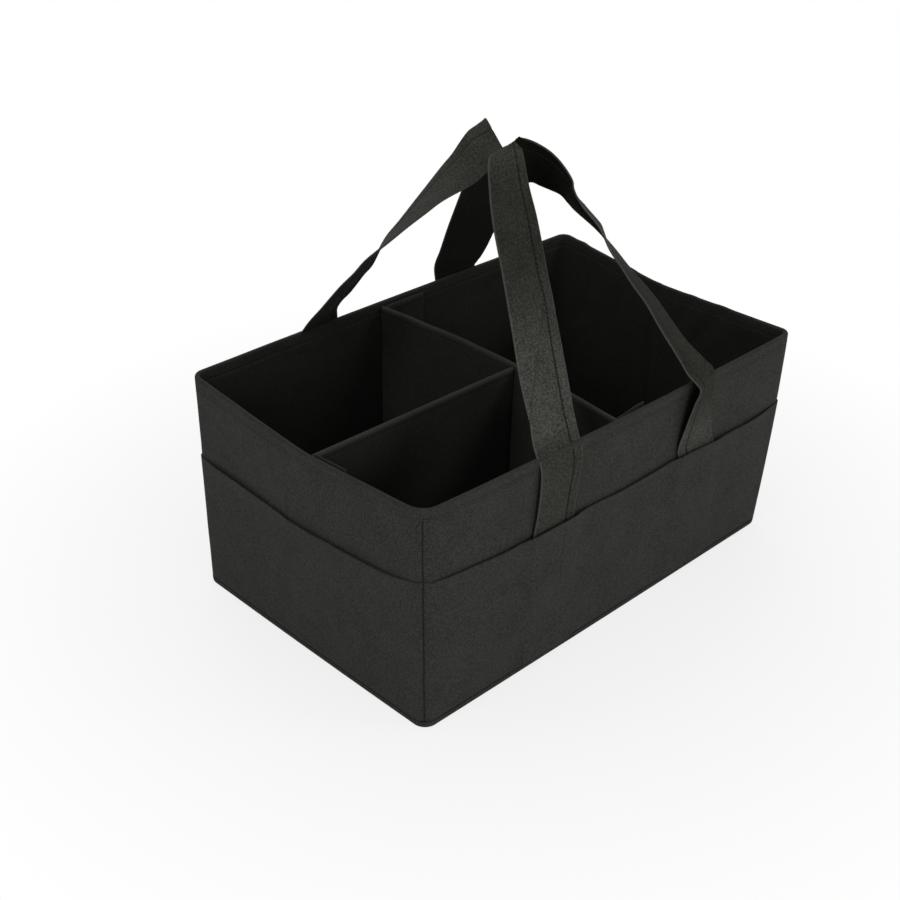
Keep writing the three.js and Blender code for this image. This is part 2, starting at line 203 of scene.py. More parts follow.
def smooth(low, high, value):
    """Eases from 0 at low to 1 at high."""
    if low == high:
        return float(value >= high)
    t = min(max((value - low) / (high - low), 0.0), 1.0)
    return t * t * (3 - 2 * t)


def mix(a, b, t):
    return a + (b - a) * t


def fold_share(y, line):
    """How much of an end wall's draw reaches a place along it: most at the fold line."""
    reach = BOX_DEPTH / 2 - CORNER_RADIUS
    away = (y - line) / (reach + (line if y < line else -line))
    crease = math.sqrt(away * away + FOLD_SOFTNESS) - math.sqrt(FOLD_SOFTNESS)
    return max(1 - crease, 0.0)


def corner_lean(x, y, z):
    """The shift of a place from the lean of the eight corners round it."""
    wx = min(max(x / BOX_WIDTH + 0.5, 0.0), 1.0)
    wy = min(max(y / BOX_DEPTH + 0.5, 0.0), 1.0)
    wz = min(max(z / BOX_HEIGHT, 0.0), 1.0)
    shift = Vector()
    for (sx, sy, top), lean in CORNER_LEAN.items():
        share = (wx if sx > 0 else 1 - wx) * (wy if sy > 0 else 1 - wy) * (wz if top else 1 - wz)
        shift += Vector(lean) * (share * mm)
    return shift


def crease_rise(side, along, up):
    """How far the wall's creases stand out at a place."""
    rise = 0.0
    for (a0, z0), (a1, z1), half, height in CREASES[side]:
        da, dz = a1 - a0, z1 - z0
        t = ((along / mm - a0) * da + (up / mm - z0) * dz) / (da * da + dz * dz)
        t = min(max(t, 0.0), 1.0)
        away = math.hypot(along / mm - a0 - da * t, up / mm - z0 - dz * t) / half
        if away < 1:
            rise += height * mm * (1 - away) ** 2 * (1 + 1.2 * away)
    return rise


def settle(point):
    """Moves a place in the stiff box to where it is in the soft one. All layers share it."""
    x, y, z = point
    up = min(max(z / BOX_HEIGHT, 0.0), 1.0)
    shift = corner_lean(x, y, z)
    left = smooth(*LEFT_EASE, x)
    side_crown = max(1 - (2 * y / BOX_DEPTH) ** 2, 0.0)
    shift.x -= LEFT_FOOT_BULGE * side_crown * (1 - up) ** 2 * left
    shift.x -= LEFT_PUSH * fold_share(y, LEFT_PUSH_LINE) * up * left
    right = fold_share(y, FOLD_LINE) * up * smooth(*RIGHT_EASE, x)
    shift.x -= RIGHT_BOW * right
    shift.z -= RIGHT_SAG * right * up * up
    swell = smooth(*SWELL_EASE, x) * smooth(*SWELL_SIDE_EASE, y)
    shift.x += RIGHT_SWELL * 4 * up * (1 - up) * swell
    inset = NEAR_BLUNT_INSET
    from_near = math.hypot(x + BOX_WIDTH / 2 - inset, y + BOX_DEPTH / 2 - inset)
    blunt = NEAR_BLUNT * (1 - smooth(0, NEAR_BLUNT_REACH, from_near)) * up * up
    shift += NEAR_BLUNT_WAY * blunt
    crown = max(1 - (2 * x / BOX_WIDTH) ** 2, 0.0)
    near = smooth(*FRONT_EASE, y)
    far = smooth(*BACK_EASE, y)
    shift.y -= (FRONT_BULGE * up * up + FRONT_FOOT_BULGE * (1 - up) ** 2) * crown * near
    shift.y += BACK_BULGE * crown * up * up * far
    shift.z -= FRONT_SAG * crown * up ** 3 * near
    edge = max(abs(2 * x / BOX_WIDTH), abs(2 * y / BOX_DEPTH))
    calm = smooth(0.0, 0.3, up) * smooth(0.5, 0.95, edge)
    drift = noise.noise_vector(Vector((x, y, z)) / WAVER_REACH + WAVER_PHASE)
    ripple = noise.noise_vector(Vector((x, y, z)) / RIPPLE_REACH + RIPPLE_PHASE)
    shift.x += (drift.x * WAVER + ripple.x * RIPPLE) * calm
    shift.y += (drift.y * WAVER + ripple.y * RIPPLE) * calm
    if y < -LONG_WALL_ZONE:
        shift.y -= crease_rise("front", x, z)
    elif y > LONG_WALL_ZONE:
        shift.y += crease_rise("back", x, z)
    if x < LEFT_WALL_ZONE:
        shift.x -= crease_rise("left", y, z)
    elif x > RIGHT_WALL_ZONE:
        shift.x += crease_rise("right", y, z)
    return Vector((x, y, z)) + shift


class Wall:
    """One side of the box: the way along it, the way out of it, half its length and its distance."""

    def __init__(self, name, along, out, half, distance):
        self.name = name
        self.along = Vector(along)
        self.out = Vector(out)
        self.half = half
        self.distance = distance
        self.flat = half - CORNER_RADIUS
        self.reach = self.flat + CORNER_RADIUS * math.pi / 4

    def point(self, s, inset, z):
        """The place at s along the wall's outside and round its corners, inset from it, at height z."""
        side = 1 if s > 0 else -1
        radius = CORNER_RADIUS - inset
        turn = max(abs(s) - self.flat, 0) / CORNER_RADIUS
        along = side * (min(abs(s), self.flat) + radius * math.sin(turn))
        out = self.distance - CORNER_RADIUS + radius * math.cos(turn)
        place = self.along * along + self.out * out
        return Vector((place.x, place.y, z))


WALLS = {
    "front": Wall("front", (1, 0, 0), (0, -1, 0), BOX_WIDTH / 2, BOX_DEPTH / 2),
    "right": Wall("right", (0, 1, 0), (1, 0, 0), BOX_DEPTH / 2, BOX_WIDTH / 2),
    "back": Wall("back", (-1, 0, 0), (0, 1, 0), BOX_WIDTH / 2, BOX_DEPTH / 2),
    "left": Wall("left", (0, -1, 0), (-1, 0, 0), BOX_DEPTH / 2, BOX_WIDTH / 2),
}


def stations(low, high, step, extra=()):
    """Places from low to high about a step apart, and closer ones where extra asks for them."""
    count = max(int(round((high - low) / step)), 1)
    places = [mix(low, high, k / count) for k in range(count + 1)]
    for value in extra:
        if low < value < high:
            places.append(value)
    places = sorted(places)
    kept = [places[0]]
    for value in places[1:]:
        if value - kept[-1] > 0.15 * mm:
            kept.append(value)
    kept[-1] = high
    return kept


def grid_piece(name, us, vs, place, thickness=0.0, loop=False, along=None, across=None):
    """A cloth sheet: a grid whose columns and rows are laid at the stations, with a real thickness.

    The cloth map holds metres along and across the sheet, and loop sews its first and last columns."""
    bm = bmesh.new()
    uv = bm.loops.layers.uv.new("cloth")
    columns, rows = len(us) - 1, len(vs) - 1
    bmesh.ops.create_grid(bm, x_segments=columns, y_segments=rows, size=1)
    spots = {}
    for v in bm.verts:
        i = round((v.co.x + 1) / 2 * columns)
        j = round((v.co.y + 1) / 2 * rows)
        spots[v] = (i, j)
    along = along or us
    across = across or vs
    for face in bm.faces:
        for corner in face.loops:
            i, j = spots[corner.vert]
            corner[uv].uv = (along[i], across[j])
    for v, (i, j) in spots.items():
        v.co = place(us[i], vs[j])
    if loop:
        bmesh.ops.remove_doubles(bm, verts=bm.verts, dist=MERGE)
    return finish_mesh(name, bm, thickness)


def finish_mesh(name, bm, thickness=0.0, smooth_faces=True):
    """Makes the piece from its bmesh, with a thickness where it is cloth."""
    mesh = bpy.data.meshes.new(name)
    for face in bm.faces:
        face.smooth = smooth_faces
    bm.to_mesh(mesh)
    bm.free()
    piece = bpy.data.objects.new(name, mesh)
    bpy.context.scene.collection.objects.link(piece)
    if thickness:
        thicken = piece.modifiers.new("thickness", "SOLIDIFY")
        thicken.thickness = thickness
        thicken.offset = 0
        thicken.use_even_offset = True
    return piece


# Shader maths

class Wire:
    """A shader socket that can be used in Python sums."""

    def __init__(self, tree, socket):
        self.tree = tree
        self.socket = socket

    def maths(self, operation, *values):
        return self.tree.node("ShaderNodeMath", {"operation": operation}, dict(enumerate(values)))[0]

    def __add__(self, other):
        return self.maths("ADD", self, other)

    def __radd__(self, other):
        return self.maths("ADD", other, self)

    def __sub__(self, other):
        return self.maths("SUBTRACT", self, other)

    def __rsub__(self, other):
        return self.maths("SUBTRACT", other, self)

    def __mul__(self, other):
        return self.maths("MULTIPLY", self, other)

    def __rmul__(self, other):
        return self.maths("MULTIPLY", other, self)

    def __truediv__(self, other):
        return self.maths("DIVIDE", self, other)

    def absolute(self):
        return self.maths("ABSOLUTE", self)

    def minimum(self, other):
        return self.maths("MINIMUM", self, other)

    def maximum(self, other):
        return self.maths("MAXIMUM", self, other)


class Finish:
    """A material built from nodes by name, with settings before sockets."""

    def __init__(self, name):
        self.material = bpy.data.materials.new(name)
        self.material.use_nodes = True
        self.nodes = self.material.node_tree.nodes
        self.links = self.material.node_tree.links
        self.shader = self.nodes["Principled BSDF"]

    def node(self, kind, settings=None, sockets=None):
        made = self.nodes.new(kind)
        for key, value in (settings or {}).items():
            if key == "stops":
                ramp = made.color_ramp
                while len(ramp.elements) < len(value):
                    ramp.elements.new(0.5)
                for element, (position, colour) in zip(ramp.elements, value):
                    element.position = position
                    element.color = colour
            else:
                setattr(made, key, value)
        for key, value in (sockets or {}).items():
            self.feed(made.inputs[key], value)
        outs = [o for o in made.outputs if o.enabled]
        return [Wire(self, o) for o in outs]

    def surface(self, colour, roughness, normal):
        """Feeds what varies over the surface, and gives the material."""
        for socket, value in (("Base Color", colour), ("Roughness", roughness), ("Normal", normal)):
            self.feed(self.shader.inputs[socket], value)
        return self.material

    def feed(self, socket, value):
        if isinstance(value, Wire):
            self.links.new(value.socket, socket)
        else:
            socket.default_value = value

    def spot(self, scale=(1, 1, 1), turn=(0, 0, 0), source="Object"):
        coordinates = self.nodes.new("ShaderNodeTexCoord")
        wire = Wire(self, coordinates.outputs[source])
        return self.node("ShaderNodeMapping", {}, {"Vector": wire, "Scale": scale, "Rotation": turn})[0]

    def speckle(self, where, size, detail=2.0, rough=0.5):
        made = self.node(
            "ShaderNodeTexNoise",
            {"noise_dimensions": "3D"},
            {"Vector": where, "Scale": 1 / size, "Detail": detail, "Roughness": rough},
        )
        return made[0]

    def blend_colours(self, factor, a, b):
        made = self.node(
            "ShaderNodeMix",
            {"data_type": "RGBA", "blend_type": "MIX"},
            {"Factor": factor},
        )
        node = made[0].socket.node
        colour_in = [s for s in node.inputs if s.type == "RGBA"]
        for socket, value in zip(colour_in, (a, b)):
            self.feed(socket, value)
        return [Wire(self, s) for s in node.outputs if s.type == "RGBA"][0]

    def span(self, value, low, high, to_low=0.0, to_high=1.0):
        return self.node(
            "ShaderNodeMapRange",
            {"clamp": True},
            {"Value": value, "From Min": low, "From Max": high, "To Min": to_low, "To Max": to_high},
        )[0]

    def near_line(self, where, start, end):
        """How far a place is from the line between two places."""
        way = (end - start).normalized()
        vector = "ShaderNodeVectorMath"
        off = self.node(vector, {"operation": "SUBTRACT"}, {0: where, 1: tuple(start)})[0]
        reach = self.node(vector, {"operation": "DOT_PRODUCT"}, {0: off, 1: tuple(way)})[0]
        reach = reach.maximum(0.0).minimum((end - start).length)
        foot = self.node(vector, {"operation": "SCALE"}, {0: tuple(way), "Scale": reach})[0]
        rest = self.node(vector, {"operation": "SUBTRACT"}, {0: off, 1: foot})[0]
        return self.node(vector, {"operation": "LENGTH"}, {0: rest})[0]

    def bump(self, height, strength, distance, under=None):
        sockets = {"Height": height, "Strength": strength, "Distance": distance}
        if under is not None:
            sockets["Normal"] = under
        return self.node("ShaderNodeBump", {}, sockets)[0]


def grey(level, warm=0.0):
    """A linear colour from a display level of 0 to 255, with a little less blue where it is warm."""
    def linear(v):
        v /= 255
        return v / 12.92 if v <= 0.04045 else ((v + 0.055) / 1.055) ** 2.4
    return (linear(level), linear(level), linear(level - warm), 1.0)


# The inside of a folded or turned cloth has its own stretch of the cloth map, this far across
INSIDE_MAP = 0.2

# Sizes in the felt
FIBRE = 0.7 * mm
GRAIN = 1.5 * mm
FLECK = 1.6 * mm
LUMP = 7 * mm
CLOUD = 24 * mm
# Share of the dark tone taken by the painted shade in stitching grooves, corner seams and creases
GROOVE_SHADE = 0.4


def felt_finish(
    name, dark, pale, warm=4.0, folds=(), lines=(), depth=0.6, fold_lift=9,
    inside=None, ends=0.0, dull=(), pressed=(), gloss=0.2,
):
    """Pressed felt: short fibres at all angles, soft mottling, and a faint fuzz at grazing angles.

    Across the cloth map folds are paler, and on the binding darker as painted shade over its lit top; lines
    of stitching sit in a groove of painted shade, and past a place the inside has its own tone, which on the
    straps is painted shade.
    Along it the corner seams and listed stretches are darkened as painted shade, and dark creases of painted
    shade run between two points."""
    felt = Finish(name)
    base = felt.spot()
    fibres = felt.speckle(felt.spot((1, 0.22, 1), (0.3, 0.5, 0.7)), FIBRE, 3.0, 0.6)
    crossed_fibres = felt.speckle(felt.spot((0.22, 1, 1), (0.9, 0.2, 1.9)), FIBRE, 3.0, 0.6)
    grain = felt.speckle(base, GRAIN, 2.0, 0.6)
    cloud = felt.speckle(base, CLOUD, 4.0, 0.6)
    pile = (fibres + crossed_fibres + grain) / 3
    flecks = felt.span(felt.speckle(base, FLECK, 3.0, 0.7), 0.4, 0.6)
    tone = felt.span(pile * 0.8 + cloud * 0.2, 0.38, 0.62) * 0.55 + flecks * 0.45
    # Painted shade: the dark colour that stitching grooves, corner seams and creases are blended towards
    groove = grey(dark * GROOVE_SHADE, warm)

    def felt_colour(low, high):
        return felt.blend_colours(tone, grey(low, warm), grey(high, warm))

    colour = felt_colour(dark, pale)
    along, across = felt.node("ShaderNodeSeparateXYZ", {}, {"Vector": felt.spot(source="UV")})[:2]
    within = 0.0
    # A tone of its own past a place across the cloth; on the straps this darker inner face is painted shade
    if inside:
        start, inner_dark, inner_pale = inside
        within = felt.span(across, start - 0.4 * mm, start + 0.4 * mm)
        colour = felt.blend_colours(within, colour, felt_colour(inner_dark, inner_pale))
        if start > 0.5 * INSIDE_MAP - mm:
            across = across - within * INSIDE_MAP
    # Painted shade: listed stretches along the cloth are blended towards a darker felt tone
    for low, high, ease, level in dull:
        shade_share = felt.span(along, low, low + ease) * (1 - felt.span(along, high - ease, high))
        shaded_felt = felt_colour(level * 0.55, level * 1.45)
        colour = felt.blend_colours(shade_share * (1 - within) * 0.7, colour, shaded_felt)
    # Folds take the pale tone plus the fold's lift; on the binding the lift is below zero, a painted shade
    # over the rim's lit top
    for place, half in folds:
        share = 1 - felt.span((across - place).absolute(), 0.0, half)
        colour = felt.blend_colours(share * (0.2 + 0.5 * grain), colour, grey(pale + fold_lift, warm))
    # Painted shade along each line of stitching, in its groove
    for place, half in lines:
        sunk = 1 - felt.span((across - place).absolute(), 0.25 * half, half)
        colour = felt.blend_colours(sunk * depth, colour, groove)
    # Painted shade: a dark line between two points, where a crease holds shade
    for source, axes, start, end, half, share in pressed:
        line = felt.near_line(felt.spot(axes, source=source), Vector(start) * mm, Vector(end) * mm)
        colour = felt.blend_colours((1 - felt.span(line, 0.0, half)) * share, colour, groove)
    # Painted shade in the corner seams, at both ends of the sheet along the cloth map
    if ends:
        sewn = 1 - felt.span(along, 0.2 * mm, ends)
        colour = felt.blend_colours(sewn * 0.75, colour, groove)
    felt.shader.inputs["Specular IOR Level"].default_value = gloss
    felt.shader.inputs["Sheen Weight"].default_value = 0.2 * gloss
    felt.shader.inputs["Sheen Roughness"].default_value = 0.6
    rough = felt.bump(pile, 0.6, 0.45 * mm)
    lumps = felt.bump(felt.speckle(base, LUMP, 2.0, 0.5), 0.3, 0.5 * mm, rough)
    return felt.surface(colour, felt.span(grain, 0.3, 0.7, 0.84, 0.98), lumps)


def board_finish():
    """Pressed card: pale brown with flecks of fibre."""
    card = Finish("pressed_board")
    base = card.spot()
    flecks = card.speckle(base, 1.4 * mm, 4.0, 0.7)
    cloud = card.speckle(base, 30 * mm, 2.0, 0.5)
    tone = card.span(flecks * 0.6 + cloud * 0.4, 0.35, 0.65)
    colour = card.blend_colours(tone, grey(118, 16), grey(150, 18))
    return card.surface(colour, card.span(flecks, 0.3, 0.7, 0.75, 0.95), card.bump(flecks, 0.3, 0.2 * mm))


def tape_finish(name, hooks):
    """Hook tape has rows of small dots, loop tape a brushed nap."""
    tape = Finish(name)
    base = tape.spot()
    if hooks:
        dots = {"Vector": base, "Scale": 1 / (1.3 * mm), "Randomness": 0.25}
        nap = tape.node("ShaderNodeTexVoronoi", {}, dots)[0]
    else:
        nap = tape.speckle(base, 0.5 * mm, 4.0, 0.7)
    colour = tape.blend_colours(tape.span(nap, 0.3, 0.7), grey(16), grey(30))
    return tape.surface(colour, tape.span(nap, 0.2, 0.8, 0.6, 0.9), tape.bump(nap, 0.7, 0.4 * mm))


def thread_finish(name, level):
    """Matt thread with its ply."""
    thread = Finish(name)
    ply = thread.speckle(thread.spot(), 0.4 * mm, 2.0, 0.5)
    colour = thread.blend_colours(thread.span(ply, 0.3, 0.7), grey(level - 6), grey(level + 6))
    return thread.surface(colour, thread.span(ply, 0.3, 0.7, 0.55, 0.8), thread.bump(ply, 0.3, 0.1 * mm))


# Half width of the painted shade along stitching, and reach of the painted shade in the corner seams
SEAM = 0.9 * mm
CORNER_SEAM_SHADE = 1.1 * mm
RIM_CUT = 19.2 * mm
RIM_STITCH = 1.4 * mm
FOLD_ROUND = 0.6 * mm
SLEEVE_SEAM = 5 * mm
STRAP_FOLD = 1.6 * mm
# Painted shade in its corner seams and along a crease in the left wall
OUTER_FELT = felt_finish(
    "outer_felt", 25, 66, ends=CORNER_SEAM_SHADE,
    pressed=(("Object", (0, 1, 1), (0, 11, 120), (0, 10.4, 141), 0.9 * mm, 0.7),),
)
# Painted shade along its sewn bottom edge, in its corner seams, and down creases and the strap edges under it
POCKET_FELT = felt_finish(
    "pocket_felt", 25, 66, ends=CORNER_SEAM_SHADE,
    lines=((POCKET_LOW, 1.5 * mm),),
    pressed=(
        ("Object", (1, 0, 1), (-60, 0, 122), (-60, 0, 70), 1.2 * mm, 0.3),
        ("Object", (1, 0, 1), (98, 0, 120), (98, 0, 74), 1.2 * mm, 0.2),
        ("Object", (1, 0, 1), (-98, 0, 22), (-97, 0, 8), 1.2 * mm, 0.5),
    ),
)
LINING_FELT = felt_finish("lining_felt", 20, 41, 3.2)


def divider_finish(name, top):
    """A sleeve's felt, paler along its fold, with a line of stitching in painted shade on both faces."""
    fold = top - DIVIDER_LOW + FOLD_ROUND
    seam = SLEEVE_SEAM + FOLD_ROUND
    return felt_finish(
        name, 20, 46, 3.2, depth=0.85,
        folds=((fold, 8 * mm), (fold, 2.4 * mm)),
        lines=((fold - seam, SEAM), (fold + seam, SEAM)),
    )


def webbing_finish(name, dark, pale, inner, seam=SEAM, **places):
    """Felt webbing with folded edges, a line of stitching in painted shade, and a darker inner face that is
    painted shade.
    """
    edge = STRAP_WIDTH / 2
    return felt_finish(
        name, dark, pale, 5.5, inside=(INSIDE_MAP / 2, *inner),
        folds=((-edge, STRAP_FOLD), (edge, STRAP_FOLD)),
        lines=((STRAP_STITCH * edge, seam),), **places,
    )


CROSS_FELT = divider_finish("cross_divider_felt", CROSS_TOP)
LONG_FELT = divider_finish("long_divider_felt", LONG_TOP)
# Paler along its fold, with painted shade along its stitching
FLAP_FELT = felt_finish(
    "flap_felt", 20, 46, 3.2,
    folds=((CROSS_TOP, 2.2 * mm),),
    lines=((CROSS_TOP - SLEEVE_SEAM, SEAM),),
)
# Its darker fold over the top is painted shade over the rim's lit top, and both lines of stitching carry
# painted shade
BINDING_FELT = felt_finish(
    "binding_felt", 25, 65, depth=0.2, fold_lift=-26, inside=(RIM_CUT * 0.55, 22, 46),
    folds=((RIM_CUT / 2, 3.2 * mm),),
    lines=((RIM_STITCH, SEAM), (RIM_CUT - RIM_STITCH, SEAM)),
)
# Painted shade along the binding's upper edge
FOOT_FELT = felt_finish("foot_binding_felt", 25, 65, lines=((0, 1.2 * mm),))
# Painted shade: a darker inner face, darker stretches over the foot below the rim, the crest and the other
# leg, and dark crease lines across the strap
FRONT_WEBBING = webbing_finish(
    "front_webbing", 29, 93, (5, 12), 1.2 * mm, depth=0.85, gloss=0.08,
    dull=(
        (-30 * mm, 196 * mm, 10 * mm, 46),
        (240 * mm, 440 * mm, 75 * mm, 28),
        (545 * mm, 720 * mm, 30 * mm, 31),
    ),
    pressed=(
        ("UV", (1, 1, 0), (292, 11, 0), (206, -21, 0), 1.3 * mm, 0.4),
        ("UV", (1, 1, 0), (184, -21, 0), (196, 16, 0), 1.3 * mm, 0.25),
    ),
)
# Painted shade: a darker inner face and a dark line along its stitching
BACK_WEBBING = webbing_finish("back_webbing", 20, 76, (7, 17))
CARD = board_finish()
HOOKS = tape_finish("hook_tape", True)
LOOPS = tape_finish("loop_tape", False)
THREAD = thread_finish("sewing_thread", 24)


def dress(piece, material, slot, body, *nodes):
    """Gives a piece its finish, its body, and the nodes it stands for; the record slot is not used."""
    piece.data.materials.append(material)
    if body:
        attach(piece, body)
    if nodes:
        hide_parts(*nodes)
    return piece


# Walls

SEAM_TUCK = 0.8 * mm
SEAM_TUCK_REACH = 2.4 * mm


def wall_columns(wall, extra=()):
    """Places along a wall's cloth, closer together round its corners."""
    arc = [wall.flat + CORNER_RADIUS * math.pi / 4 * k / 6 for k in range(7)]
    both = arc + [-value for value in arc]
    return stations(-wall.reach + MERGE, wall.reach - MERGE, CLOTH_STEP, both + list(extra))


def from_corner(wall, columns):
    """How far each place is from the nearer sewn corner."""
    return [wall.reach - abs(s) for s in columns]


def seam_tuck(wall, s):
    """A sheet's edge turns in a little where it is sewn to the next one at a corner."""
    return SEAM_TUCK * (1 - smooth(0, SEAM_TUCK_REACH, wall.reach - abs(s)))


def wall_felt(name, node, wall, place, finish, slot, along=None):
    """A wall's outer felt or its lining, sewn in along the base."""
    rows = stations(PANEL_LOW, PANEL_HIGH, CLOTH_STEP)
    piece = grid_piece(name, wall_columns(wall), rows, place, FELT, along=along)
    dress(piece, finish, slot, "caddy", node)


for side, wall in WALLS.items():
    def outer_place(s, z, wall=wall):
        closed = smooth(RIM_LOW, RIM_LOW - 12 * mm, z)
        return settle(wall.point(s, FELT / 2 + seam_tuck(wall, s) * closed, z))

    def lining_place(s, z, wall=wall):
        return settle(wall.point(s, WALL - FELT / 2, z))

    along = from_corner(wall, wall_columns(wall))
    wall_felt(side + "_felt", side + "_outer_panel", wall, outer_place, OUTER_FELT, "outer_felt", along)
    wall_felt(side + "_inner_felt", side + "_lining", wall, lining_place, LINING_FELT, "lining_felt")


# Boards in the walls: node, wall, and where it starts and ends along the wall in mm

WALL_BOARDS = {
    "front_card": ("front_wall_board", "front", -186.85, 186.85),
    "back_card": ("back_wall_board", "back", -186.85, 186.85),
    "right_card_front": ("right_wall_board_front_half", "right", -117, 4.5),
    "right_card_back": ("right_wall_board_back_half", "right", 7.5, 117),
    "left_card_front": ("left_wall_board_front_half", "left", -4.5, 117),
    "left_card_back": ("left_wall_board_back_half", "left", -117, -7.5),
}
WALL_BOARD_HEIGHTS = stations(1 * mm, 189.5 * mm, BOARD_STEP)

for name, (node, side, low, high) in WALL_BOARDS.items():
    def board_place(s, z, wall=WALLS[side]):
        return settle(wall.point(s, FELT + SEAT + BOARD / 2, z))

    columns = stations(low * mm, high * mm, BOARD_STEP)
    piece = grid_piece(name, columns, WALL_BOARD_HEIGHTS, board_place, BOARD)
    dress(piece, CARD, "board", "caddy", node)


# Pockets

STRAP_CENTRES = {
    "front": (-71.5 * mm, 90.5 * mm),
    "back": (-71.8 * mm, 77.8 * mm),
}

# The top edge of each pocket: places along its wall and heights, in mm
POCKET_EDGE = {
    "front": (
        (-200, 131), (-187, 129.9), (-122, 125.1), (-58, 126.2),
        (5, 123.6), (70, 125.9), (143, 122.1), (200, 124.5),
    ),
    "left": ((-130, 119.8), (-68, 122.8), (-10, 121.9), (40, 123.9), (84, 125.2), (125, 130.8)),
    "back": ((-200, 124.5), (-120, 123), (-40, 125.5), (60, 123.5), (130, 125), (200, 124.5)),
    "right": ((-130, 124.5), (-70, 121), (0, 118.5), (60, 120.5), (130, 124.5)),
}


def along_line(points, x):
    """A soft line through points: eased between each pair."""
    if x <= points[0][0]:
        return points[0][1]
    for (xa, ya), (xb, yb) in zip(points, points[1:]):
        if x <= xb:
            t = (x - xa) / (xb - xa)
            return mix(ya, yb, (t + t * t * (3 - 2 * t)) / 2)
    return points[-1][1]


def strap_lift(wall, s):
    """The pocket lies over the strap's foot and eases down to the wall beside it."""
    lift = 0.0
    for centre in STRAP_CENTRES.get(wall.name, ()):
        away = abs(s - centre) - STRAP_WIDTH / 2
        lift = max(lift, 1 - smooth(-1 * mm, 15 * mm, away) ** 0.7)
    return lift


# Rows up a pocket: even ones, and closer ones where its edge gapes
POCKET_SHARES = [k / 36 for k in range(34)] + [0.94, 0.965, 0.985, 1.0]

for side, wall in WALLS.items():
    full = LONG_POCKET if side in ("front", "back") else END_POCKET

    def pocket_place(s, share, wall=wall):
        z = mix(POCKET_LOW, along_line(POCKET_EDGE[wall.name], s / mm) * mm, share)
        lift = (STRAP_THICK + SEAT) * strap_lift(wall, s)
        slack = 0.75 + 0.6 * noise.noise(Vector((s / (45 * mm), 2.0, wall.distance * 9)))
        gape = POCKET_GAPE * share ** 9 * slack * smooth(4 * mm, 30 * mm, wall.reach - abs(s))
        inset = POCKET_INSET + FELT / 2 - lift - max(gape, 0) + seam_tuck(wall, s)
        return settle(wall.point(s, inset, z))

    beside_straps = []
    for centre in STRAP_CENTRES.get(side, ()):
        for way in (-1, 1):
            edge = centre + way * STRAP_WIDTH / 2
            beside_straps += [edge + way * k * mm for k in (-0.8, 0.3, 1.6)]
    columns = wall_columns(wall, beside_straps)
    heights = [mix(POCKET_LOW, full, share) for share in POCKET_SHARES]
    along = from_corner(wall, columns)
    pocket = grid_piece(
        side + "_pocket_felt", columns, POCKET_SHARES, pocket_place, FELT, along=along, across=heights,
    )
    dress(pocket, POCKET_FELT, "outer_felt", "caddy", side + "_pocket")
    full - POCKET_LOW
    side + "_felt"


# Rim and bottom bindings

RIM_LENGTH = sum(2 * wall.reach for wall in WALLS.values())
RIM_STEP = 1.6 * mm
FOOT_TURN = 1.8 * mm


def round_box(t):
    """The wall and the place along it at a share t of the way round the box."""
    at = (t % 1.0) * RIM_LENGTH
    for wall in WALLS.values():
        if at <= 2 * wall.reach or wall.name == "left":
            return wall, at - wall.reach
        at -= 2 * wall.reach


def ring_stations(step):
    """Shares round the box: a step apart on the flats and closer round the corners."""
    shares, start = [0.0], 0.0
    for wall in WALLS.values():
        arc = [wall.flat + CORNER_RADIUS * math.pi / 4 * k / 6 for k in range(1, 6)]
        places = [-a for a in reversed(arc)] + stations(-wall.flat, wall.flat, step) + arc + [wall.reach]
        shares += [(start + wall.reach + p) / RIM_LENGTH for p in places]
        start += 2 * wall.reach
    return shares


def rim_section():
    """Inset and height across the rim binding, from its outer edge over the top to its inner edge."""
    outer, inner = FELT / 2, WALL - FELT / 2
    radius = (inner - outer) / 2
    centre = (inner + outer) / 2
    turn = BOX_HEIGHT - FELT / 2 - radius
    heights = stations(RIM_LOW, turn, RIM_STEP)
    section = [(outer, z) for z in heights]
    for k in range(1, 8):
        angle = math.pi * k / 8
        section.append((centre - radius * math.cos(angle), turn + radius * math.sin(angle)))
    return section + [(inner, z) for z in reversed(heights)]


def foot_section():
    """Inset and height across the bottom binding, from its upper edge round under the base."""
    outer = -1 * mm + FELT / 2
    section = [(outer, 6 * mm), (outer, 4.6 * mm), (outer - 0.1 * mm, 3.2 * mm)]
    for k in range(1, 6):
        angle = math.pi / 2 * k / 6
        inset = outer + FOOT_TURN * (1 - math.cos(angle))
        section.append((inset, FELT / 2 + FOOT_TURN * (1 - math.sin(angle))))
    return section + [(inset, FELT / 2) for inset in (3 * mm, 6 * mm, 7.8 * mm)]


def section_lengths(section):
    """How far each place of a section is along its cloth."""
    lengths = [0.0]
    for (a, b), (c, d) in zip(section, section[1:]):
        lengths.append(lengths[-1] + math.hypot(c - a, d - b))
    return lengths


def binding_piece(name, node, section, finish):
    """A cloth band that runs round the box, with the inset and height of its section."""
    last = len(section) - 1

    def place(t, share):
        wall, s = round_box(t)
        inset, z = section[int(round(share * last))]
        return settle(wall.point(s, inset, z))

    shares = [k / last for k in range(last + 1)]
    across = section_lengths(section)
    band = grid_piece(name, ring_stations(CLOTH_STEP), shares, place, FELT, loop=True, across=across)
    dress(band, finish, "binding", "caddy", node)


binding_piece("rim_felt", "rim_binding", rim_section(), BINDING_FELT)
binding_piece("foot_felt", "bottom_binding", foot_section(), FOOT_FELT)


# Base layers, in mm: half length, half width, underside, top and corner radius

BASE_LAYERS = {
    "base_felt": ("base_panel", (187.3, 117.5, 0, 0.7, 3), OUTER_FELT, "outer_felt"),
    "base_card": ("base_board", (191.5, 121.7, 1, 3.5, 6), CARD, "board"),
    "floor_felt": ("base_lining", (191.5, 121.7, 3.8, 4.5, 6), LINING_FELT, "lining_felt"),
}
BASE_CUTS = 16


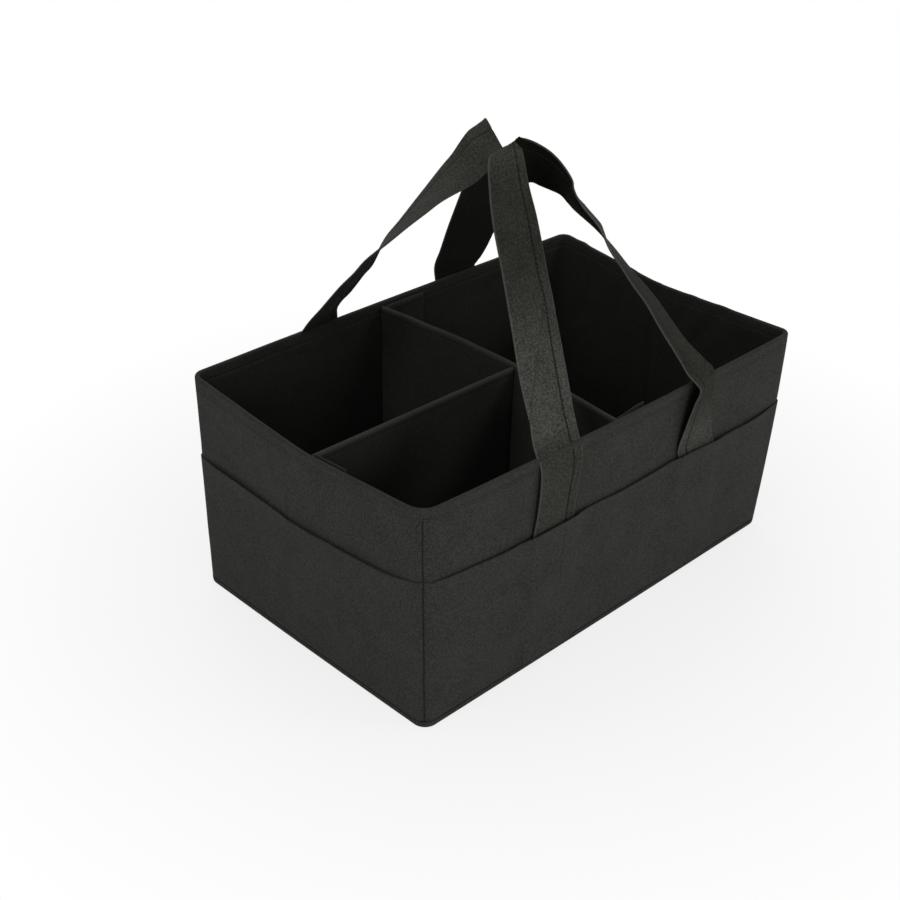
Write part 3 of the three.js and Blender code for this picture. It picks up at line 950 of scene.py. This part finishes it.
def base_slab(name, sizes):
    """A flat layer with round corners, cut into a grid so that it follows the soft box."""
    half_x, half_y, low, high, radius = sizes
    bm = bmesh.new()
    bmesh.ops.create_cube(bm, size=1, matrix=Matrix.Diagonal((2 * half_x, 2 * half_y, high - low, 1)))
    bmesh.ops.translate(bm, verts=bm.verts, vec=(0, 0, (low + high) / 2))
    upright = [e for e in bm.edges if abs(e.verts[0].co.z - e.verts[1].co.z) > 0.5 * (high - low)]
    bmesh.ops.bevel(
        bm, geom=upright, offset=radius, affect="EDGES", segments=4, profile=0.5, material=-1,
    )
    for axis, half in (((1, 0, 0), half_x), ((0, 1, 0), half_y)):
        for k in range(1, BASE_CUTS):
            at = Vector(axis) * mix(-half, half, k / BASE_CUTS)
            everything = bm.verts[:] + bm.edges[:] + bm.faces[:]
            bmesh.ops.bisect_plane(bm, geom=everything, plane_co=at, plane_no=axis)
    for v in bm.verts:
        v.co = settle(v.co)
    return finish_mesh(name, bm, smooth_faces=False)


for name, (node, sizes, finish, slot) in BASE_LAYERS.items():
    sizes = [size * mm for size in sizes]
    layer = base_slab(name, sizes)
    dress(layer, finish, slot, "caddy", node)
    if slot != "board":
        under = ["base_card"] if name == "floor_felt" else []
        2 * sizes[0]
        2 * sizes[1]
        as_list(under)


# Divider

CROSS_BOW = ((-121, 0.0), (-60, 1.6), (-10, 2.0), (40, 0.2), (90, -5.5), (121, -9.2))
DIVIDERS = {
    "cross": {
        "low": -121.8 * mm, "high": 121.8 * mm, "centre": CROSS_X, "top": CROSS_TOP,
        "runs": "y", "felt": CROSS_FELT,
    },
    "long": {
        "low": -190.15 * mm, "high": -6.8 * mm, "centre": LONG_Y, "top": LONG_TOP,
        "runs": "x", "felt": LONG_FELT,
    },
}
SLEEVE_FOLD = 2 * mm
SLEEVE_PUFF = 0.25 * mm
SLEEVE_GROOVE = 0.4 * mm
SLEEVE_STEP = 4 * mm


def cross_bow(y):
    """How far the cross divider bows sideways."""
    return along_line(CROSS_BOW, y / mm) * mm


def divider_spot(divider, s, off, z):
    """The place at s along a divider and off its middle, bent with the felt and then with the box."""
    across = divider["centre"] + off
    x, y = (across, s) if divider["runs"] == "y" else (s, across)
    joined = smooth(-110 * mm, -8 * mm, x)
    return settle((x + cross_bow(y) * joined, y, z))


def sleeve_section(top):
    """Offset and height round a sleeve: up one face, over the fold and down the other."""
    half = DIVIDER_THICK / 2 - FELT / 2
    groove = top - SLEEVE_SEAM
    turn = top - SLEEVE_FOLD
    side = []
    for z in stations(DIVIDER_LOW, turn, 6 * mm, [groove + k * mm for k in (-3, -1.6, -0.8, 0, 0.8, 1.6)]):
        sunk = 1 - smooth(0, 1.6 * mm, abs(z - groove))
        puff = smooth(groove, turn, z) + 0.6 * (1 - smooth(0, 9 * mm, groove - z))
        side.append((half + SLEEVE_PUFF * puff - SLEEVE_GROOVE * sunk, z))
    edge = side[-1][0]
    section = [(-off, z) for off, z in side]
    for k in range(1, 8):
        angle = math.pi * k / 8
        section.append((-edge * math.cos(angle), turn + (SLEEVE_FOLD - FELT / 2) * math.sin(angle)))
    return section + side[::-1]


def sleeve_piece(name, divider):
    """A felt sleeve folded over its board, stitched just below the fold and open at the bottom."""
    low, high, top = divider["low"], divider["high"], divider["top"]
    section = sleeve_section(top)
    last = len(section) - 1

    def place(s, share):
        off, z = section[int(round(share * last))]
        end = min(s - low, high - s)
        pinch = 0.45 + 0.55 * math.sqrt(min(end / (2.5 * mm), 1.0))
        return divider_spot(divider, s, off * pinch, z)

    ends = [low + k * mm for k in (0.3, 0.8, 1.6)] + [high - k * mm for k in (0.3, 0.8, 1.6)]
    columns = stations(low, high, SLEEVE_STEP, ends)
    shares = [k / last for k in range(last + 1)]
    piece = grid_piece(name + "_sleeve", columns, shares, place, FELT, across=section_lengths(section))
    dress(piece, divider["felt"], "lining_felt", "divider", name + "_divider_cover")
    flat = (high - low, 2 * (top - DIVIDER_LOW))
    name + "_card"


def divider_card(name, divider):
    """The board in a sleeve."""
    def place(s, z):
        return divider_spot(divider, s, 0, z)

    columns = stations(divider["low"] + mm, divider["high"] - mm, BOARD_STEP)
    rows = stations(DIVIDER_LOW, divider["top"] - 1.6 * mm, BOARD_STEP)
    piece = grid_piece(name + "_card", columns, rows, place, BOARD)
    dress(piece, CARD, "board", "divider", name + "_divider_board")


for make in (sleeve_piece, divider_card):
    for name, divider in DIVIDERS.items():
        make(name, divider)


# Divider flaps and their tapes: where each flap leaves its sleeve, its hinge, and which way it runs

CROSS_FACE = -2.5 * mm
FLAP_TIP = 28 * mm
BACK_FLAP_ROOT = CROSS_FACE + cross_bow(119 * mm)
LEFT_FLAP_PLANE = -188.3 * mm
FLAP_CURL = 1.6 * mm
FLAP_CURL_RISE = 1.4 * mm
HINGE_HEIGHT = 105 * mm
FLAPS = {
    "front": {
        "root": (CROSS_FACE, -FLAP_PLANE), "hinge": (-2 * mm, -FLAP_PLANE), "way": (1, 0), "out": (0, -1),
        "length": FLAP_TIP - CROSS_FACE, "sleeve": "cross_sleeve",
    },
    "back": {
        "root": (BACK_FLAP_ROOT, FLAP_PLANE), "hinge": (-2 * mm, FLAP_PLANE), "way": (1, 0), "out": (0, 1),
        "length": FLAP_TIP - BACK_FLAP_ROOT, "sleeve": "cross_sleeve",
    },
    "left": {
        "root": (LEFT_FLAP_PLANE, -19 * mm), "hinge": (LEFT_FLAP_PLANE, -19.5 * mm), "way": (0, -1),
        "out": (-1, 0), "length": FLAP_TIP - CROSS_FACE, "sleeve": "long_sleeve",
    },
}
TAPE_THICK = 0.8 * mm
TAPE_WIDTH = 20 * mm
TAPE_LOW = 30 * mm
TAPE_HIGH = 182 * mm
TAPE_INSET = 7 * mm

for side, flap in FLAPS.items():
    way = Vector((*flap["way"], 0))
    out = Vector((*flap["out"], 0))
    root = Vector((*flap["root"], 0))
    hinge = Vector((*flap["hinge"], HINGE_HEIGHT))

    def flap_place(u, z, side=side, root=root, way=way, out=out):
        curl = smooth(168 * mm, CROSS_TOP, z) * smooth(2 * mm, 26 * mm, u) * (side == "front")
        return settle(root + way * u - out * FLAP_CURL * curl + Vector((0, 0, z + FLAP_CURL_RISE * curl)))

    columns, rows = stations(0, flap["length"], 3 * mm), stations(FLAP_FOOT, CROSS_TOP, 5 * mm)
    piece = grid_piece(side + "_flap_felt", columns, rows, flap_place, FELT)
    dress(piece, FLAP_FELT, "lining_felt", None, side + "_flap")
    side + "_flap"
    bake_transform(piece)

    for kind, reach, finish, body, under in (
        ("hook", 1.1 * mm, HOOKS, side + "_flap", side + "_flap_felt"),
        ("loop", 2.3 * mm, LOOPS, "caddy", side + "_inner_felt"),
    ):
        foot = Vector((hinge.x, hinge.y, 0)) + way * TAPE_INSET + out * reach

        def tape_place(u, z, foot=foot, way=way):
            return settle(foot + way * u + Vector((0, 0, z)))

        columns, rows = stations(0, TAPE_WIDTH, 4 * mm), stations(TAPE_LOW, TAPE_HIGH, 6 * mm)
        tape = grid_piece(f"{side}_{kind}_strip", columns, rows, tape_place, TAPE_THICK)
        dress(tape, finish, "tape", body, f"{side}_{kind}_tape")


# Handle straps

# The two edges of each strap from one foot over the crest to the other, in mm
FRONT_TAILS = (
    [((-50.5, 8), (-92.5, 8)), ((-50.5, 60), (-92.5, 60)), ((-50.2, 118), (-92.3, 118)),
     ((-48.5, 150), (-90.8, 150)), ((-46.2, 180), (-89.2, 180))],
    [((69.5, 118), (111.5, 118)), ((69.5, 60), (111.5, 60)), ((69.5, 8), (111.5, 8))],
)
FRONT_LOOP = [
    ((-44.8, -128.4, 192), (-88.9, -127.8, 192)),
    ((-43.4, -123.1, 200.6), (-87.5, -121.9, 201.4)),
    ((-32, -103.5, 222.2), (-75.8, -99.3, 225.6)),
    ((-22.3, -82, 254.8), (-64.5, -77, 260.6)),
    ((-11.3, -57.7, 290), (-52.5, -52.7, 296.8)),
    ((-3.1, -38.6, 319.8), (-43.9, -33.2, 327.8)),
    ((6, -20.7, 336), (-35.2, -20.7, 344.4)),
    ((7.6, -11.7, 358.5), (-34.6, -18.5, 364.3)),
    ((9.7, -5, 367.4), (-29.9, -15.5, 367.4)),
    ((10.4, -5.3, 368.5), (-24.9, -14.8, 359.6)),
    ((10.1, -6.8, 368.7), (-17.1, -13.5, 347.2)),
    ((11, -9, 368.7), (-6, -11.5, 336.5)),
    ((14.6, -11.7, 367.2), (13, -4.5, 328.2)),
    ((20.4, -16.5, 363.3), (29.6, 0.3, 325.9)),
    ((29.9, -19.9, 355.5), (40.1, -0.1, 319.9)),
    ((34.3, -27.6, 347), (47.9, -3.2, 315.5)),
    ((36.4, -36.1, 336.2), (54.6, -7.9, 311)),
    ((34.9, -38.4, 331.3), (57.9, -11.9, 305.5)),
    ((37, -43.7, 320.2), (61.2, -15.9, 300)),
    ((50.9, -51.7, 298.4), (78.5, -25.3, 280.8)),
    ((57.6, -58, 281.1), (88.8, -34.4, 265.5)),
    ((63.5, -66.2, 266.4), (95.9, -44.2, 251.2)),
    ((65.4, -76.8, 255), (99.4, -56.6, 240.8)),
    ((65.9, -90.4, 244.7), (100.5, -71.2, 230.9)),
    ((66, -103.7, 231.3), (101.8, -86.1, 218.3)),
    ((67.6, -115.1, 218.8), (103.2, -99.5, 206.9)),
    ((69.7, -124.8, 207.4), (104.2, -112, 199.2)),
    ((70.7, -132.9, 198.3), (104, -122.5, 195)),
    ((71.7, -140.6, 193.5), (105, -128.4, 192)),
    ((72.2, -144.9, 189.3), (106.7, -130.6, 184)),
    ((69.7, -142.6, 177.2), (107.6, -130.1, 168)),
    ((67.5, -136.9, 153.3), (109.6, -129.7, 149)),
    ((67.7, -131.6, 131.6), (111.4, -129.2, 130)),
]
BACK_TAILS = (
    [((50.8, 8), (92.8, 8)), ((50.8, 60), (92.8, 60)), ((50.8, 118), (92.8, 118)),
     ((50.2, 150), (93, 150)), ((49.6, 180), (93.5, 180))],
    [((-57.8, 180), (-98.3, 180)), ((-57.2, 150), (-99, 150)), ((-57, 118), (-99, 118)),
     ((-57, 60), (-99, 60)), ((-57, 8), (-99, 8))],
)
BACK_LOOP = [
    ((49, 128.8, 192), (93.7, 127.2, 192)),
    ((47, 127.9, 203.8), (89, 118.2, 200.8)),
    ((38.6, 111.4, 228.8), (77.9, 96.3, 225.1)),
    ((33, 95.9, 257.2), (67.7, 71.9, 259.3)),
    ((30.4, 82.7, 283.2), (60.7, 53.1, 283)),
    ((24.3, 66.1, 310.5), (53.7, 37.7, 301)),
    ((20.7, 53.8, 335.8), (44.8, 25.9, 315.5)),
    ((19.8, 46.5, 354.3), (33.5, 17.2, 326.2)),
    ((19.3, 40.8, 368), (25.7, 14.9, 332.3)),
    ((15.5, 40.1, 367.1), (15, 11.7, 336.2)),
    ((10.6, 41.5, 364.4), (2.3, 8.4, 339.9)),
    ((3.3, 42.4, 361.3), (-10, 7.6, 341.9)),
    ((-3.8, 43.6, 354), (-19.3, 8.4, 337.1)),
    ((-9.5, 46.1, 345.3), (-27.9, 10, 334.3)),
    ((-15.9, 50.2, 336.2), (-36.3, 13.9, 330.7)),
    ((-24.2, 56.9, 321.8), (-44.4, 20.2, 324.7)),
    ((-32.3, 63.9, 307.2), (-53.1, 28.2, 315)),
    ((-38.1, 73.6, 290.8), (-59.1, 39.5, 303.4)),
    ((-45.3, 82.6, 274.9), (-69.7, 51.4, 288.8)),
    ((-50.7, 93.1, 249.9), (-78, 68.8, 270.5)),
    ((-52.8, 100.6, 240.1), (-82.7, 77.3, 258)),
    ((-55.8, 108.6, 227.7), (-87.2, 87.3, 245.7)),
    ((-58.1, 112.8, 221.1), (-91.8, 93, 236.5)),
    ((-60.2, 120.1, 212.4), (-96.3, 101.7, 223.5)),
    ((-60.5, 126.2, 203), (-99.6, 113, 209.1)),
    ((-58.8, 128.7, 193), (-97.6, 126.2, 194)),
]
HANDLES = {
    "front": {"wall": WALLS["front"], "tails": FRONT_TAILS, "loop": FRONT_LOOP, "felt": FRONT_WEBBING},
    "back": {"wall": WALLS["back"], "tails": BACK_TAILS, "loop": BACK_LOOP, "felt": BACK_WEBBING},
}
TAIL_STAND = 2.6 * mm
RING_STEP = 3 * mm

# Bends across each strap: from and to, both as share across it and distance along it in mm, then
# half width and rise in mm
STRAP_BENDS = {
    "front": (
        ((0.75, 196), (-0.95, 176), 9, 0.8),
        ((-1, 205), (0.5, 292), 15, 2.6),
        ((0.6, 503), (0.6, 527), 10, 2),
        ((0.6, 500), (0.6, 534), 17, 1.4),
        ((0.7, 640), (-0.8, 655), 9, 0.8),
    ),
    "back": (((-0.9, 196), (0.6, 210), 10, 0.8), ((-0.3, 455), (0.3, 475), 7, 0.8)),
}


def strap_edges(handle):
    """Both edges of the strap, the feet lying on the settled wall."""
    wall = handle["wall"]

    def foot(pair):
        places = []
        for x, z in pair:
            stand = TAIL_STAND * smooth(114, 140, z) * (1 - 0.6 * smooth(150, 185, z))
            stand *= wall.name == "front" and x < -60
            places.append(settle((x * mm, wall.out.y * (STRAP_PLANE + stand), z * mm)))
        return places

    rows = [foot(pair) for pair in handle["tails"][0]]
    rows += [[Vector(place) * mm for place in pair] for pair in handle["loop"]]
    rows += [foot(pair) for pair in handle["tails"][1]]
    return [row[0] for row in rows], [row[1] for row in rows]


def even_curve(points, i, t):
    """A curve through the points, between point i and the next, that doesn't swing out at short steps."""
    b, c = points[i], points[i + 1]
    a = points[i - 1] if i else b * 2 - c
    d = points[i + 2] if i + 2 < len(points) else c * 2 - b
    t1 = max((b - a).length, 1e-6) ** 0.5
    t2 = t1 + max((c - b).length, 1e-6) ** 0.5
    t3 = t2 + max((d - c).length, 1e-6) ** 0.5
    at = mix(t1, t2, t)
    ab = a.lerp(b, at / t1)
    bc = b.lerp(c, (at - t1) / (t2 - t1))
    cd = c.lerp(d, (at - t2) / (t3 - t2))
    return ab.lerp(bc, at / t2).lerp(bc.lerp(cd, (at - t1) / (t3 - t1)), (at - t1) / (t2 - t1))


def strap_rings(handle):
    """Rings along the strap: distance, one edge, the other edge."""
    plus, minus = strap_edges(handle)
    pairs = []
    for i in range(len(plus) - 1):
        gap = max((plus[i + 1] - plus[i]).length, (minus[i + 1] - minus[i]).length)
        steps = max(int(round(gap / RING_STEP)), 1)
        for k in range(steps):
            pairs.append((even_curve(plus, i, k / steps), even_curve(minus, i, k / steps)))
    pairs.append((plus[-1], minus[-1]))
    rings, distance = [], 0.0
    for n, (a, b) in enumerate(pairs):
        if n:
            distance += ((a + b) / 2 - (pairs[n - 1][0] + pairs[n - 1][1]) / 2).length
        rings.append((distance, a, b))
    return rings


def strap_spot(rings, n, v):
    """The middle of the cloth at ring n and share v across, and the way its outer face looks."""
    _, a, b = rings[n]
    here = b.lerp(a, (v + 1) / 2)
    before = rings[max(n - 1, 0)]
    after = rings[min(n + 1, len(rings) - 1)]
    forward = after[2].lerp(after[1], (v + 1) / 2) - before[2].lerp(before[1], (v + 1) / 2)
    return here, (a - b).cross(forward).normalized()


def strap_section():
    """Share across and half thickness round the strap: soft folded edges and a groove under the stitching."""
    seam = STRAP_STITCH
    face = [(-1, 0), (-0.99, 0.6), (-0.96, 0.9), (-0.85, 1.05)]
    face += [(-0.7 + 0.14 * k, 1) for k in range(8)]
    face += [(seam - 0.11, 1.05), (seam - 0.045, 0.9), (seam, 0.55), (seam + 0.045, 0.9), (seam + 0.12, 1.1)]
    face += [(0.85, 1.1), (0.96, 0.9), (0.99, 0.6), (1, 0)]
    outer = [(v, h * STRAP_THICK / 2) for v, h in face]
    return outer + [(v, -h) for v, h in reversed(outer)][1:]


def strap_bend(side, distance, v):
    """How far a bend lifts the cloth."""
    half_strap = STRAP_WIDTH / 2 / mm
    rise = 0.0
    for (v0, d0), (v1, d1), half, height in STRAP_BENDS[side]:
        dv, dd = (v1 - v0) * half_strap, d1 - d0
        t = ((v - v0) * half_strap * dv + (distance / mm - d0) * dd) / (dv * dv + dd * dd)
        t = min(max(t, 0.0), 1.0)
        away = math.hypot((v - v0) * half_strap - dv * t, distance / mm - d0 - dd * t) / half
        if away < 1:
            rise += height * mm * (1 - away) ** 1.5
    return rise


def ride_strap(piece, side):
    """Bakes the piece's place into its mesh."""
    side + "_handle"
    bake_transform(piece)


def strap_piece(side, handle):
    """A strap from foot to foot, a closed band of cloth, and the rings that its stitching follows."""
    rings = strap_rings(handle)
    section = strap_section()

    def place(n, k):
        v, off = section[k]
        here, normal = strap_spot(rings, n, v)
        return here + normal * (off + strap_bend(side, rings[n][0], v))

    bm = bmesh.new()
    uv = bm.loops.layers.uv.new("cloth")
    columns, rows = len(rings) - 1, len(section) - 1
    bmesh.ops.create_grid(bm, x_segments=columns, y_segments=rows, size=1)
    spots = {
        v: (round((v.co.x + 1) / 2 * columns), round((v.co.y + 1) / 2 * rows)) for v in bm.verts
    }
    # Faces of the inner side, which take the webbing's darker inner tone of painted shade
    inner = {f: sum(spots[v][1] for v in f.verts) / 4 > rows / 2 for f in bm.faces}
    for face in bm.faces:
        for corner in face.loops:
            n, k = spots[corner.vert]
            across = section[k][0] * STRAP_WIDTH / 2
            corner[uv].uv = (rings[n][0], across + (INSIDE_MAP if inner[face] else 0))
    for v, (n, k) in spots.items():
        v.co = place(n, k)
    bmesh.ops.remove_doubles(bm, verts=bm.verts, dist=MERGE / 2)
    bmesh.ops.holes_fill(bm, edges=[e for e in bm.edges if e.is_boundary], sides=0)
    bmesh.ops.recalc_face_normals(bm, faces=bm.faces)
    piece = finish_mesh(side + "_strap", bm)
    nodes = [side + node for node in ("_handle_strap", "_strap_tail_left", "_strap_tail_right")]
    dress(piece, handle["felt"], "webbing", None, *nodes)
    ride_strap(piece, side)
    side + "_felt"
    return rings


STRAP_RINGS = {side: strap_piece(side, handle) for side, handle in HANDLES.items()}


# Stitching

STITCH = 2.1 * mm
STITCH_PITCH = 3.4 * mm
STITCH_THICK = 0.28 * mm
THREAD_STAND = 0.02 * mm
BOX_LINE_STEPS = 420


def stitch_row(name, spots, slot):
    """A row of short stitches: each spot gives its place and the way it runs."""
    bm = bmesh.new()
    shape = Matrix.Diagonal((STITCH / 2, STITCH_THICK, STITCH_THICK, 1))
    for place, forward in spots:
        turn = forward.to_track_quat("X", "Z").to_matrix().to_4x4()
        lie = Matrix.Translation(place) @ turn @ shape
        bmesh.ops.create_icosphere(bm, subdivisions=1, radius=1, matrix=lie)
    row = finish_mesh(name, bm)
    dress(row, THREAD, slot, None)
    return row


def row_spots(line):
    """Evenly spaced spots along a line of places."""
    spots, left = [], STITCH_PITCH / 2
    for a, b in zip(line, line[1:]):
        step = (b - a).length
        while left < step:
            spots.append((a.lerp(b, left / step), (b - a).normalized()))
            left += STITCH_PITCH
        left -= step
    return spots


def box_line(inset, z):
    """Places round the whole box."""
    line = []
    for k in range(BOX_LINE_STEPS + 1):
        wall, s = round_box(k / BOX_LINE_STEPS)
        line.append(settle(wall.point(s, inset, z)))
    return line


for name, inset, z in (
    ("rim_stitching_outside", -THREAD_STAND, RIM_LOW + RIM_STITCH),
    ("rim_stitching_inside", WALL + THREAD_STAND, RIM_LOW + RIM_STITCH),
    ("foot_stitching", -1 * mm - THREAD_STAND, 4.9 * mm),
):
    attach(stitch_row(name, row_spots(box_line(inset, z)), "binding"), "caddy")


def sleeve_line(divider, face):
    """Places along the stitching on one face of a sleeve."""
    off = face * (DIVIDER_THICK / 2 - 0.2 * mm)
    stops = stations(divider["low"] + 3 * mm, divider["high"] - 3 * mm, SLEEVE_STEP)
    return [divider_spot(divider, s, off, divider["top"] - SLEEVE_SEAM) for s in stops]


for name, divider in DIVIDERS.items():
    spots = row_spots(sleeve_line(divider, -1)) + row_spots(sleeve_line(divider, 1))
    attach(stitch_row(name + "_divider_stitching", spots, "lining_felt"), "divider")


def strap_line(side, face):
    """Places along the stitching on one face of a strap."""
    rings = STRAP_RINGS[side]
    line = []
    for n in range(len(rings)):
        here, normal = strap_spot(rings, n, STRAP_STITCH)
        bend = strap_bend(side, rings[n][0], STRAP_STITCH)
        line.append(here + normal * (bend + face * STRAP_THICK * 0.33))
    return line


for side in HANDLES:
    spots = row_spots(strap_line(side, 1)) + row_spots(strap_line(side, -1))
    ride_strap(stitch_row(side + "_strap_stitching", spots, "webbing"), side)


# Floor, light and camera

FLOOR_RADIUS = 6
FLOOR_DROP = 0.2 * mm
FLOOR_COLOUR = (0.8, 0.8, 0.79, 1)
WHITE = (1, 1, 1, 1)
WORLD_LIGHT = 0.22
LAMP_AIM = Vector((0, 0, 0.12))

# Place in metres, size in metres and power in watts of each lamp
LAMPS = {
    "front_softbox": ((1.1, -1.4, 1.5), 0.9, 8),
    "low_softbox": ((-0.3, -1.35, 0.35), 0.8, 4),
    "left_softbox": ((-1.7, -0.15, 1.45), 1.2, 12),
    "rear_softbox": ((0.9, 1.5, 1.2), 1.2, 5),
    "top_softbox": ((0.1, 0.2, 1.9), 1.6, 4),
}


def studio_floor():
    """A pale floor that takes the shadow under the box and fades to white away from it."""
    bm = bmesh.new()
    bmesh.ops.create_circle(bm, cap_ends=True, segments=96, radius=FLOOR_RADIUS)
    bmesh.ops.translate(bm, verts=bm.verts, vec=(0, 0, -FLOOR_DROP))
    floor = finish_mesh("studio_floor", bm, smooth_faces=False)
    paint = Finish("studio_floor")
    paint.shader.inputs["Base Color"].default_value = FLOOR_COLOUR
    paint.shader.inputs["Roughness"].default_value = 0.9
    paint.shader.inputs["Specular IOR Level"].default_value = 0.1
    away = paint.node("ShaderNodeVectorMath", {"operation": "LENGTH"}, {0: paint.spot()})[0]
    glow = paint.node("ShaderNodeEmission", {}, {"Color": WHITE, "Strength": 1.0})[0]
    camera_ray = Wire(paint, paint.nodes.new("ShaderNodeLightPath").outputs["Is Camera Ray"])
    fade = paint.span(away, 0.2, 0.5, 0.8, 1.0) * camera_ray
    lit = Wire(paint, paint.shader.outputs[0])
    blended = paint.node("ShaderNodeMixShader", {}, {0: fade, 1: lit, 2: glow})[0]
    paint.feed(paint.nodes["Material Output"].inputs["Surface"], blended)
    floor.data.materials.append(paint.material)
    floor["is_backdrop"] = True


def studio_light():
    """A soft world that the camera sees as white, and the softboxes."""
    world = bpy.data.worlds.new("studio")
    bpy.context.scene.world = world
    world.use_nodes = True
    nodes, links = world.node_tree.nodes, world.node_tree.links
    light = nodes["Background"]
    seen = nodes.new("ShaderNodeBackground")
    for shade, strength in ((light, WORLD_LIGHT), (seen, 1.0)):
        shade.inputs["Color"].default_value = WHITE
        shade.inputs["Strength"].default_value = strength
    either = nodes.new("ShaderNodeMixShader")
    rays = nodes.new("ShaderNodeLightPath").outputs["Is Camera Ray"]
    for socket, wire in zip(either.inputs, (rays, light.outputs[0], seen.outputs[0])):
        links.new(wire, socket)
    links.new(either.outputs[0], nodes["World Output"].inputs["Surface"])
    for name, (place, size, power) in LAMPS.items():
        data = bpy.data.lights.new(name, "AREA")
        data.shape = "DISK"
        data.size = size
        data.energy = power
        lamp = bpy.data.objects.new(name, data)
        lamp.location = place
        lamp.rotation_euler = (LAMP_AIM - lamp.location).to_track_quat("-Z", "Y").to_euler()
        bpy.context.scene.collection.objects.link(lamp)


CAMERA_PLACE = (-0.83265, -0.83589, 0.82512)
CAMERA_TURN = math.radians(-43.03)
CAMERA_RISE = math.radians(31.57)
CAMERA_ROLL = math.radians(0.43)
CAMERA_LENS = 67.98


def photograph_camera():
    """The camera that the photograph was solved to: where it stands and how it is turned."""
    data = bpy.data.cameras.new("camera")
    data.sensor_width = 36
    data.lens = CAMERA_LENS
    made = bpy.data.objects.new("camera", data)
    level = math.cos(CAMERA_RISE)
    back = Vector((math.sin(CAMERA_TURN) * level, -math.cos(CAMERA_TURN) * level, math.sin(CAMERA_RISE)))
    right = Vector((math.cos(CAMERA_TURN), math.sin(CAMERA_TURN), 0))
    up = back.cross(right)
    across = right * math.cos(CAMERA_ROLL) + up * math.sin(CAMERA_ROLL)
    upright = up * math.cos(CAMERA_ROLL) - right * math.sin(CAMERA_ROLL)
    axes = Matrix((across, upright, back)).transposed().to_4x4()
    made.matrix_world = Matrix.Translation(CAMERA_PLACE) @ axes
    bpy.context.scene.collection.objects.link(made)
    bpy.context.scene.camera = made


studio_floor()
studio_light()
photograph_camera()
bpy.context.scene.view_settings.view_transform = "Standard"
look_low, look_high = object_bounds()
sizes = {"cad": [list(cad_low), list(cad_high)], "visual": [list(look_low), list(look_high)]}
